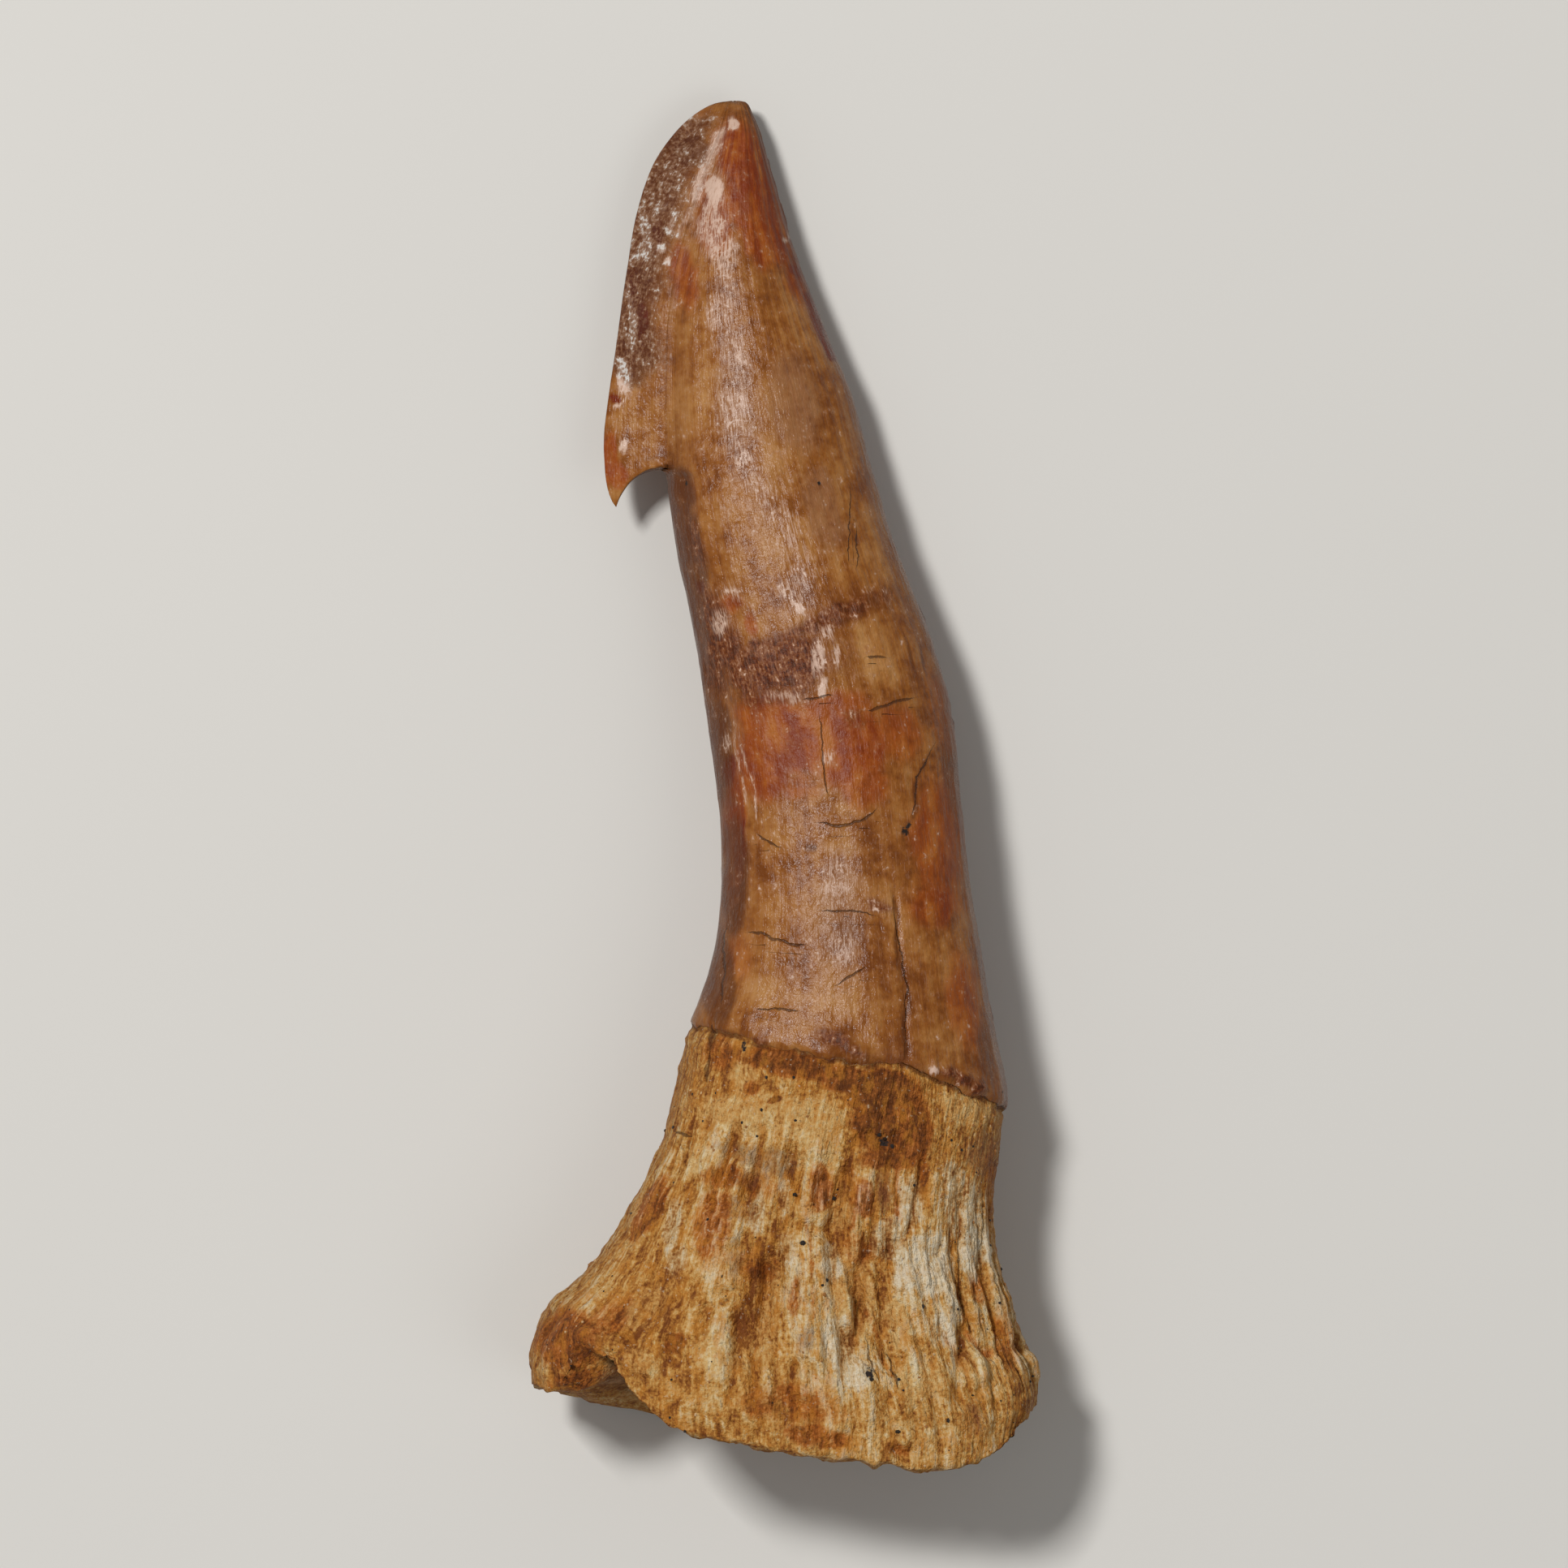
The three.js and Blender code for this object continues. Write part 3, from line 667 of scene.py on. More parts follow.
# Lumps (above 0) and hollows (below 0) on the front, given as blobs
FRONT_LUMPS = [
    (-6.3, -25.3, 0.9, 0.6, 0.2, -24), (-8.2, -24.4, 1.2, 0.5, 0.22, -10),
    (-4.8, -24.7, 0.5, 0.7, -0.24), (-3, -25.6, 1.3, 0.9, 0.14), (8.3, -25.7, 0.6, 0.8, 0.26),
    (6.9, -26.2, 0.5, 0.9, 0.18, 6), (9.9, -25.8, 0.6, 1.1, 0.16, 8),
    (5.1, -29.3, 0.5, 0.3, -0.22), (3.7, -25.9, 0.2, 0.4, -0.24, 26),
    (7.5, -12.9, 0.8, 0.2, 0.13, -14), (8.4, -13.4, 0.3, 0.2, 0.12, -30),
    (2.2, -11.2, 0.7, 0.3, 0.1, -14), (3.1, -11.8, 0.8, 0.4, 0.1, -22),
    (6.55, -12.55, 0.2, 0.2, 0.16), (5.4, -2.2, 0.2, 0.3, -0.12, -28),
    (-7.3, 14.8, 0.4, 0.6, 0.08, -6), (-1.2, -14.5, 1.9, 0.8, 0.1), (1.3, -15.2, 1.4, 1.3, 0.1),
    (4.3, -15.7, 0.3, 0.3, -0.16), (-0.6, -16.7, 0.9, 0.6, -0.1), (2.4, -18.9, 0.3, 0.5, 0.14),
    (1.6, -18, 0.4, 0.9, -0.14),
]

# The broken flank beside the cutting edge ends at a worn ridge, given as (y, x)
BEVEL_RIDGE = [
    (17, -6.7), (17.8, -5.9), (18.6, -5.3), (19.4, -5.4), (20.7, -5.7), (21.8, -5.3), (23, -5),
    (24.3, -4.65), (25.5, -4.25), (27, -3.85), (28.6, -3.2), (29.5, -2.8),
]
BEVEL_FROM_Y = 17.2
BEVEL_TO_Y = 29.9
# The cutting edge fades between these two distances into the blade, and starts between
# these two places along the tooth
CUT_EDGE_WIDTH = (0.08, 0.26)
CUT_EDGE_FROM_Y = (13.0, 15.0)
# Depths and heights of the flank, the sediment, broad dents, and the root's chipped lip
BEVEL_DEPTH = 0.09
BEVEL_ROUGHNESS = 0.10
CRUST_HEIGHT = 0.11
BROAD_DENTS = 0.07
LIP_RAGGEDNESS = 0.26
# The root is chipped more and more between these two stations. A splinter stands out
# from its lip: its x, width and length, and the two heights between which it starts
LIP_STATIONS = (26.9, 28.0)
SPUR = (3.95, 0.22, 0.26)
SPUR_HEIGHTS = (6.0, 9.0)


def ribs_of(points, normal, grain, seam, grit):
    """The ribs' relief on the root, and a share that is low in their grooves."""
    sway = grain + layered(grain, (1.6, 4.0, 1.6), 41)[..., None] * (0.16, 0, 0.16)
    broad = noise(sway, (RIB_WIDTH, RIB_LENGTH, RIB_WIDTH), 42)
    fine = noise(sway, (FINE_RIB_WIDTH, RIB_LENGTH * 0.5, FINE_RIB_WIDTH), 43)
    wide_groove = np.exp(-((noise(sway, (0.55, 5.0, 0.55), 44) / 0.13) ** 2))
    thin_groove = np.exp(-((noise(sway, (0.30, 3.5, 0.30), 46) / 0.12) ** 2))
    x, y = points[..., 0], points[..., 1]
    below_seam = smooth(seam, *RIBS_BELOW_SEAM)
    off_base = 1 - 0.75 * smooth(-y, *RIBS_FADE_DOWN)
    off_left = mix(0.35, 1.0, smooth(x, *RIBS_FROM_LEFT))
    off_sides = mix(0.45, 1.0, smooth(np.abs(normal[..., 2]), 0.1, 0.6))
    middle = np.exp(-(((x - RIBS_MIDDLE_X) / RIBS_MIDDLE_WIDTH) ** 2))
    patchy = 0.75 + 0.8 * noise(points, (2.2, 3.2, 2.2), 45) + 0.35 * middle
    strength = below_seam * off_base * off_left * off_sides
    strength = strength * np.clip(patchy, 0.15, 1.3) * (1 - 0.5 * grit)
    height = RIB_HEIGHT * broad + FINE_RIB_HEIGHT * fine
    height = height - GROOVE_DEPTH * wide_groove - 0.45 * GROOVE_DEPTH * thin_groove
    share = 0.85 + 0.25 * middle + 0.6 * broad + 0.35 * fine
    share = share - 0.5 * wide_groove - 0.25 * thin_groove
    share = mix(0.5, share, np.clip(strength * 1.4, 0, 1))
    return height * strength, np.clip(share, 0.2, 0.88)


def bevel_of(points, front):
    """1 on the broken flank between the cutting edge and the worn ridge."""
    x, y = points[..., 0], points[..., 1]
    ragged = layered(points, 0.8, 51) * 0.25 + layered(points, 0.3, 52, 2) * 0.12
    ridge = np.interp(y, *np.array(BEVEL_RIDGE).T)
    beside = smooth(ridge - x + ragged, -0.80, 1.00)
    slanted = y + (x + 6.9) * 0.55 + ragged * 1.6
    ends = smooth(slanted, BEVEL_FROM_Y, BEVEL_FROM_Y + 0.7)
    top = 1 - smooth(y + ragged, BEVEL_TO_Y - 0.9, BEVEL_TO_Y)
    return beside * ends * top * mix(0.75, 1.0, front)


def blade_edge(points, ring):
    """1 along the thin cutting edge of the crown."""
    x, y = points[..., 0], points[..., 1]
    near = 1 - smooth(x - ring.left_x, *CUT_EDGE_WIDTH)
    return near * smooth(y, *CUT_EDGE_FROM_Y)


def relief_of(points, normal, grain, masks, seam, front):
    """How far each point stands off the smooth form, and its ribs for the colours."""
    x, y = points[..., 0], points[..., 1]
    root = smooth(seam, -0.04, 0.10)
    ribs, rib_share = ribs_of(points, normal, grain, seam, masks["grit"])
    bone = 0.13 * layered(points, 1.3, 61) + 0.08 * layered(points, 0.42, 62, 2)
    grains = layered(points, 0.42, 65, 2)
    pits = smooth(noise(points, 0.62, 68), 0.30, 0.60)
    gritty = masks["grit"] * (0.20 * grains - 0.26 * pits)
    step = SEAM_STEP * smooth(seam, *STEP_FROM) * (1 - root)
    step = step * (0.75 + 0.5 * noise(points, 1.4, 69))
    step = step - SEAM_GROOVE * np.exp(-(((seam - 0.1) / SEAM_HALF_WIDTH) ** 2))
    flutes = 0.03 * noise(grain, (0.7, 14.0, 0.7), 63)
    flutes = flutes + 0.012 * noise(grain, (0.25, 9.0, 0.25), 64)
    wrinkles = 0.022 * layered(points, (0.55, 0.75, 0.55), 67, 2)
    flank = masks["bevel"] * (BEVEL_ROUGHNESS * grains - BEVEL_DEPTH)
    crust = masks["umber"] * (1 - masks["bevel"]) * (1 - root)
    crust = crust * CRUST_HEIGHT * (0.3 + 1.1 * grains)
    dents = BROAD_DENTS * layered(points, 3.2, 66, 2)
    height = root * (ribs + bone + gritty) + step + (1 - root) * (flutes + wrinkles)
    height = height + flank + crust + dents
    for points_of_line, width, line_height in FRONT_LINES:
        height = height + front * line_height * line_mask(x, y, points_of_line, width)
    for lump in FRONT_LUMPS:
        height = height + front * blob_mask(x, y, Blob(*lump))
    return height * (1 - 0.9 * masks["cut_edge"]), rib_share


def ragged_rim(points, station, depth_in):
    """How far along Y the broken rim of the root is chipped back or stands out."""
    at_rim = smooth(station, *LIP_STATIONS) * (1 - smooth(depth_in, 0.1, 0.3))
    chips = layered(points, 1.1, 71, 4) * LIP_RAGGEDNESS + 0.08 * layered(points, 0.35, 74, 2)
    spur_x, spur_width, spur_length = SPUR
    spur = spur_length * np.exp(-(((points[..., 0] - spur_x) / spur_width) ** 2))
    return at_rim[:, None] * (chips - spur * smooth(points[..., 2], *SPUR_HEIGHTS))


def cavity_relief(points, depth_in):
    """Spongy bone and packed sediment in the hollow of the root."""
    sponge = 0.34 * layered(points, 1.5, 81, 4)
    return smooth(depth_in, 0.14, 0.3)[:, None] * sponge


# ---- cracks ----

# Cracks on the front, as points and a strength
CRACKS = [
    ([(3.66, 5.5), (4.02, 5.46), (4.45, 5.39)], 0.8),
    ([(3.75, 3.18), (4.2, 3.26), (4.9, 3.46), (5.8, 3.68)], 1),
    ([(0.8, 3.58), (1.4, 3.62), (2.1, 3.75)], 0.7),
    ([(1.5, 3), (1.55, 2), (1.7, 1), (1.8, 0.2), (2, -0.7)], 0.6),
    ([(1.4, -1.75), (2.3, -1.92), (3, -1.84), (3.6, -1.6), (4.1, -1.2)], 1),
    ([(-1.2, -2.3), (-0.7, -2.6), (-0.1, -2.95)], 0.7),
    ([(1.6, -5.6), (2.9, -5.65), (4.1, -5.9)], 0.5),
    ([(-1.6, -6.6), (-1, -6.65), (-0.4, -6.95), (0.3, -7.15), (1.1, -7.2)], 0.9),
    ([(2.3, -8.9), (2.9, -8.5), (3.6, -8.15)], 0.7),
    ([(-1.2, -9.9), (-0.1, -9.98), (0.6, -10.1)], 0.8),
    ([(6.75, 1.9), (5.88, 0.21), (5.7, -0.86), (5.59, -1.57)], 0.6),
    ([(4.73, -4.96), (4.95, -6.57), (5.16, -7.82), (5.41, -9.25), (5.3, -12.3)], 0.5),
    ([(2.84, 13.07), (2.88, 11.2), (2.84, 9.5)], 0.45),
    ([(3.2, 11.29), (3.22, 9.32)], 0.55),
    ([(-2.55, -6.2), (-2.62, -8.36), (-2.75, -9.9)], 0.7),
    ([(-3.1, -10.6), (-3.3, -11.93), (-3.48, -13.5)], 1),
    ([(-4.9, -15.3), (-4, -15.5)], 0.9),
    ([(4.55, -24.8), (4.9, -25.9), (5, -26.6)], 0.7),
    ([(3.55, -24.2), (3.9, -25.4), (4.2, -26.2)], 0.6),
]
# How far from a crack its distance is held, and the share of it that each end tapers
CRACK_REACH = 0.5
CRACK_TAPER = 0.22


def crack_fields(x, y):
    """The signed distance to the nearest crack, and how strongly that crack shows."""
    nearest = np.full(x.shape, CRACK_REACH)
    side, shows = np.ones(x.shape), np.zeros(x.shape)
    for points, strength in CRACKS:
        distance, facing, along = beside_line(x, y, points)
        closer = distance < nearest
        nearest = np.where(closer, distance, nearest)
        side = np.where(closer, facing, side)
        taper = smooth(np.minimum(along, 1 - along), 0.0, CRACK_TAPER)
        shows = np.where(closer, strength * taper, shows)
    return side * nearest, shows * (1 - smooth(nearest, CRACK_REACH / 2, CRACK_REACH))


# ---- the tooth's mesh ----

# The values that the mesh holds for its material
SHADED_VALUES = (
    "orange", "ember", "umber", "lilac", "pearl", "cream", "dusk", "bone", "rust", "ink",
    "frost", "bevel", "ribs", "seam", "side", "hollow", "crack_side", "crack",
)
# The front's mask rises, and the sides' painted shade falls, as a normal's z goes between these
FRONT_FROM_SLOPE = (-0.25, 0.1)
SIDE_SHADE_SLOPES = (0.15, 0.82)
# The least and the most that the mesh holds for the way from the seam
SEAM_RANGE = (-3.0, 20.0)


def grid_faces(rings, sides):
    """Quads of a closed grid of rings, and the fans that close its two ends."""
    row = np.arange(rings - 1)[:, None] * sides
    here = np.arange(sides)[None, :]
    after = (here + 1) % sides
    below = row + sides
    quads = np.stack([row + here, row + after, below + after, below + here], axis=2)
    side, following = here[0], after[0]
    tip, bottom = np.full(sides, rings * sides), np.full(sides, rings * sides + 1)
    last = (rings - 1) * sides
    tip_fan = np.stack([tip, following, side], axis=1)
    end_fan = np.stack([bottom, last + side, last + following], axis=1)
    return quads.reshape(-1, 4).tolist() + tip_fan.tolist() + end_fan.tolist()


def per_vertex(values):
    """A grid of values as one per vertex, with the two end vertices after the grid."""
    flat = values.reshape(-1, *values.shape[2:])
    ends = np.stack([values[0].mean(axis=0), values[-1].mean(axis=0)])
    return np.concatenate([flat, ends])


def add_values(mesh, name, values):
    """One number, or one vector, for each vertex, which a material reads by name."""
    kind, key = ("FLOAT", "value") if values.ndim == 1 else ("FLOAT_VECTOR", "vector")
    layer = mesh.attributes.new(name, kind, "POINT")
    layer.data.foreach_set(key, values.astype(np.float32).ravel())


def add_object(name, data):
    """A new object in the scene."""
    made = bpy.data.objects.new(name, data)
    bpy.context.scene.collection.objects.link(made)
    return made


def add_mesh(name, vertices, faces, material):
    """A smooth-shaded mesh object from vertices in millimetres."""
    mesh = bpy.data.meshes.new(name)
    mesh.from_pydata((np.asarray(vertices) * MM).tolist(), [], faces)
    mesh.polygons.foreach_set("use_smooth", [True] * len(mesh.polygons))
    mesh.materials.append(material)
    mesh.update()
    return add_object(name, mesh)


def masks_for_material(points, normal, depth_in, seam, front):
    """The masks that only the colours need: the seam, the sides' painted shade, hollow and
    cracks.
    """
    outer = (depth_in < WALL_SHARE)[:, None]
    hollow_share = smooth(depth_in, 0.10, 0.3)[:, None]
    sway = layered(points, 0.9, 17) * 0.16
    crack_side, shows = crack_fields(points[..., 0] + sway, points[..., 1] + sway)
    return {
        "seam": np.clip(seam, *SEAM_RANGE),
        # painted shade on the sides, strongest where the surface turns steeply away from above
        "side": (1 - smooth(np.abs(normal[..., 2]), *SIDE_SHADE_SLOPES)) * outer,
        "hollow": np.broadcast_to(hollow_share, seam.shape),
        "crack_side": crack_side,
        "crack": shows * front,
    }


def make_tooth(material):
    """The whole tooth: the smooth form, its relief, and the masks for its colours."""
    points, angle, station, depth_in = loft()
    normal = normals_of(points)
    outer = (depth_in < WALL_SHARE)[:, None]
    front = smooth(normal[..., 2], *FRONT_FROM_SLOPE) * outer
    ring = rings_at(station / LAST_STATION)
    grain = grain_of(points, ring, angle, depth_in)
    seam = seam_offset(points, front)
    masks = masks_of(points, front)
    masks["bevel"] = bevel_of(points, front)
    masks["cut_edge"] = blade_edge(points, ring)
    height, masks["ribs"] = relief_of(points, normal, grain, masks, seam, front)
    masks.update(masks_for_material(points, normal, depth_in, seam, front))
    height = np.where(outer, height, 0) + cavity_relief(points, depth_in)
    placed = points + normal * height[..., None]
    placed[..., 1] += ragged_rim(points, station, depth_in)
    placed[..., 2] = np.maximum(placed[..., 2], 0)
    faces = grid_faces(*seam.shape)
    tooth = add_mesh("tooth_surface", per_vertex(placed), faces, material)
    for name in SHADED_VALUES:
        add_values(tooth.data, name, per_vertex(masks[name]))
    add_values(tooth.data, "grain", per_vertex(grain))
    return tooth, placed, normal


# ---- materials ----


def srgb(red, green, blue):
    """A colour as Blender wants it, from its everyday 0 to 255 values."""
    shares = [value / 255 for value in (red, green, blue)]
    return (*(((share + 0.055) / 1.055) ** 2.4 for share in shares), 1.0)


class Graph:
    """Adds nodes to a new material, each fed by earlier nodes or by plain values."""

    def __init__(self, name):
        self.material = bpy.data.materials.new(name)
        self.material.use_nodes = True
        self.nodes = self.material.node_tree.nodes
        self.links = self.material.node_tree.links
        self.shader = self.nodes["Principled BSDF"]
        self.place = self.scaled(self.add("TexCoord", {}, output="Object"), 1 / MM)

    def feed(self, socket, value):
        """Links an earlier node's output to a socket, or sets the socket's own value."""
        if isinstance(value, bpy.types.NodeSocket):
            self.links.new(value, socket)
        else:
            socket.default_value = value

    def add(self, kind, inputs, output=0, **settings):
        """A new shader node's output; inputs are by name or number."""
        node = self.nodes.new("ShaderNode" + kind)
        for name, value in settings.items():
            setattr(node, name, value)
        for name, value in inputs.items():
            self.feed(node.inputs[name], value)
        return node.outputs[output]

    def vector(self, operation, a, b):
        return self.add("VectorMath", {0: a, 1: b}, operation=operation)

    def scaled(self, vector, factor):
        return self.add("VectorMath", {0: vector, "Scale": factor}, operation="SCALE")

    def math(self, operation, a, b=0.0):
        return self.add("Math", {0: a, 1: b}, operation=operation)

    def times(self, a, b):
        return self.math("MULTIPLY", a, b)

    def total(self, start, *terms):
        """The start, plus each value of the (value, weight) terms times its weight."""
        for value, weight in terms:
            inputs = {0: value, 1: weight, 2: start}
            start = self.add("Math", inputs, operation="MULTIPLY_ADD")
        return start

    def swing(self, middle, *terms):
        """A value about the middle, moved up and down by (noise, weight) terms."""
        return self.total(middle - 0.5 * sum(weight for _, weight in terms), *terms)

    def steps(self, value, low, high):
        """0 below low, 1 above high, and a smooth rise between; low may be the larger."""
        inputs = {"Value": value, "From Min": low, "From Max": high}
        return self.add("MapRange", inputs, interpolation_type="SMOOTHSTEP")

    def noise(self, place, size, detail=3.0, rough=0.5):
        """Noise about 0.5 with features of this size in millimetres, or sizes by axis."""
        if isinstance(size, tuple):
            place = self.vector("MULTIPLY", place, tuple(1 / part for part in size))
            size = 1.0
        inputs = {"Vector": place, "Scale": 1 / size, "Detail": detail, "Roughness": rough}
        return self.add("TexNoise", inputs)

    def mix(self, share, a, b):
        inputs = {0: share, 6: a, 7: b}
        return self.add("Mix", inputs, output=2, data_type="RGBA")

    def ramp(self, value, stops):
        """The colour at a value between (place, red, green, blue) stops in rising order."""
        node = self.nodes.new("ShaderNodeValToRGB")
        elements = node.color_ramp.elements
        elements[0].position = stops[0][0]
        elements[1].position = stops[-1][0]
        for place, *_ in stops[1:-1]:
            elements.new(place)
        for element, (_, *colour) in zip(elements, stops):
            element.color = srgb(*colour)
        self.feed(node.inputs["Fac"], value)
        return node.outputs["Color"]

    def held(self, name, output="Fac"):
        """A value, or a "Vector", that the mesh holds for each vertex."""
        return self.add("Attribute", {}, output=output, attribute_name=name)

    def ragged(self, mask, pattern, spread, soft):
        """A soft mask cut along a noise pattern, so that its edge frays."""
        moved = self.total(self.math("SUBTRACT", mask, 0.5 * spread), (pattern, spread))
        return self.steps(moved, 0.5 - soft, 0.5 + soft)

    def stain(self, colour, other, mask, pattern, spread, soft, strength):
        """Lays another colour over a colour inside a ragged mask, at this strength."""
        share = self.times(self.ragged(mask, pattern, spread, soft), strength)
        return self.mix(share, colour, other)

    def shade(self, **inputs):
        """The finished material; an underscore stands for a space in an input's name."""
        for name, value in inputs.items():
            self.feed(self.shader.inputs[name.replace("_", " ")], value)
        return self.material


# Colours along a rising value, as (place, red, green, blue) stops
ENAMEL = (
    (0.28, 112, 60, 20), (0.42, 138, 82, 32),
    (0.56, 158, 105, 52), (0.72, 176, 128, 76),
)
AMBER = (
    (0.30, 120, 40, 0), (0.48, 146, 66, 8), (0.66, 166, 94, 32),
)
# The sediment's palest grains are partly painted glints
MATRIX = (
    (0.18, 62, 22, 2), (0.38, 100, 44, 8), (0.54, 122, 68, 30),
    (0.70, 144, 96, 64), (0.88, 214, 178, 156),
)
# The broken flank's palest grains are partly painted glitter
FLANK = (
    (0.14, 76, 32, 14), (0.34, 104, 62, 38), (0.52, 130, 90, 62),
    (0.70, 152, 122, 100), (0.90, 214, 208, 202),
)
PLAIN_BONE = (
    (0.20, 116, 62, 18), (0.38, 164, 106, 42), (0.50, 186, 132, 62),
    (0.64, 202, 158, 94), (0.84, 214, 186, 140),
)
RUSTY_BONE = (
    (0.18, 86, 42, 8), (0.36, 116, 56, 8), (0.50, 142, 70, 6),
    (0.66, 170, 92, 20), (0.88, 200, 140, 66),
)
CREAM_BONE = (
    (0.14, 128, 74, 24), (0.32, 174, 118, 54), (0.48, 194, 145, 80),
    (0.68, 206, 168, 108), (0.90, 218, 194, 148),
)
CHALKY_BONE = (
    (0.16, 116, 66, 24), (0.32, 162, 112, 60), (0.46, 188, 150, 99),
    (0.64, 204, 181, 143), (0.88, 222, 210, 186),
)
# Lilac is a grey-mauve stain that partly paints a dull sheen
LILAC_AND_SHEEN_TINT = srgb(142, 102, 74)
EMBER = srgb(108, 34, 4)
# Dark brown stain, also used as painted shade on the steep sides, the left edge and the notch
DUSK_AND_SIDE_SHADE = srgb(80, 40, 14)
MAUVE = srgb(120, 74, 46)
GOLD = srgb(188, 120, 38)
# Pale wear that also paints glints, highlights and sheen
PALE_WEAR_AND_GLINT = srgb(208, 176, 156)
PALE_WEAR_AND_SHEEN_HAZE = srgb(166, 124, 92)
# Dark rust for specks, and for a painted shadow under the enamel's ledge
DARK_RUST_AND_LEDGE_SHADOW = srgb(92, 46, 12)
CHALK = srgb(206, 188, 160)
CAVITY_DARK = srgb(104, 60, 24)
CAVITY = srgb(164, 116, 64)
CRACK = srgb(60, 34, 20)
INK = srgb(42, 34, 30)


def enamel_colour(g, grain, mask, mottle):
    """The glossy crown and shaft: tan with long streaks, stained in bands."""
    cloud = g.noise(g.place, 2.2, 4)
    streak = g.noise(grain, (0.45, 9.0, 0.45), 3)
    fibre = g.noise(grain, (0.14, 5.0, 0.14), 2)
    tone = g.swing(0.45, (cloud, 0.8), (streak, 0.32), (mottle, 0.45), (fibre, 0.20))
    tone = g.total(tone, (mask.cream, 0.14), (mask.dusk, -0.12))
    # the lilac patches, partly a painted dull sheen
    colour = g.stain(g.ramp(tone, ENAMEL), LILAC_AND_SHEEN_TINT, mask.lilac, mottle, 1.4, 0.5, 0.5)
    warmth = g.swing(0.5, (g.noise(grain, (0.9, 2.4, 0.9), 4), 1.2), (mottle, 0.5))
    amber = g.ramp(g.total(warmth, (mask.orange, -0.08)), AMBER)
    edge = g.swing(0.5, (mottle, 0.6), (cloud, 0.6))
    colour = g.stain(colour, amber, mask.orange, edge, 1.6, 0.5, 0.85)
    colour = g.stain(colour, EMBER, mask.ember, streak, 1.0, 0.35, 1.0)
    # The dusk stain, which is painted shade along the left edge and in the notch under the barb
    return g.stain(colour, DUSK_AND_SIDE_SHADE, mask.dusk, mottle, 0.8, 0.4, 0.7)


def stains_on_enamel(g, colour, grain, mask, mottle, speckle):
    """Packed sediment, the sugary broken flank, and pale worn places with painted glints and
    sheen.
    """
    fleck = g.noise(grain, (0.10, 0.36, 0.10), 3, 0.6)
    tone = g.swing(0.42, (speckle, 1.1), (mottle, 1.5), (fleck, 1.0))
    fray = g.swing(0.5, (mottle, 1.0), (speckle, 0.6))
    colour = g.stain(colour, g.ramp(tone, MATRIX), mask.umber, fray, 1.8, 0.5, 1.0)
    # A pale haze over worn places, partly a painted sheen
    haze = g.swing(0.5, (mottle, 0.5), (fleck, 0.8))
    colour = g.stain(colour, PALE_WEAR_AND_SHEEN_HAZE, mask.pearl, haze, 1.0, 0.5, 0.32)
    # A pale web over worn places, partly a painted highlight broken up as wrinkles would break it
    bent = g.vector("ADD", g.place, g.scaled((1.0, 1.0, 1.0), g.times(mottle, 0.9)))
    web = g.add("TexVoronoi", {"Vector": bent, "Scale": 1 / 0.50}, feature="DISTANCE_TO_EDGE")
    worn = g.swing(-0.02, (speckle, 1.3), (fleck, 1.3), (mottle, 1.2))
    worn = g.total(worn, (mask.pearl, 1.0), (web, -2.3))
    colour = g.mix(g.times(g.steps(worn, 0.44, 0.66), 0.62), colour, PALE_WEAR_AND_GLINT)
    # Painted glints: small pale flecks and streaks, most on the worn ridge and a few on the
    # sediment
    glint_streak = g.noise(grain, (0.07, 0.80, 0.07), 2)
    painted_glints = g.math("MAXIMUM", fleck, glint_streak)
    painted_glints = g.total(painted_glints, (mask.pearl, 0.15), (mask.umber, 0.04))
    painted_glints = g.times(g.steps(painted_glints, 0.60, 0.68), g.total(0.08, (mask.pearl, 0.85)))
    colour = g.mix(painted_glints, colour, PALE_WEAR_AND_GLINT)
    # The broken flank, its pale grains partly painted glitter
    tone = g.swing(0.41, (speckle, 1.7), (mottle, 1.2), (fleck, 1.2))
    tone = g.total(tone, (mask.pearl, 0.30), (mask.ember, -0.14))
    frayed = g.total(mask.bevel, (g.swing(0.0, (speckle, 1.0), (mottle, 0.8)), 1.0))
    return g.mix(g.times(g.steps(frayed, 0.05, 1.05), 0.92), colour, g.ramp(tone, FLANK))


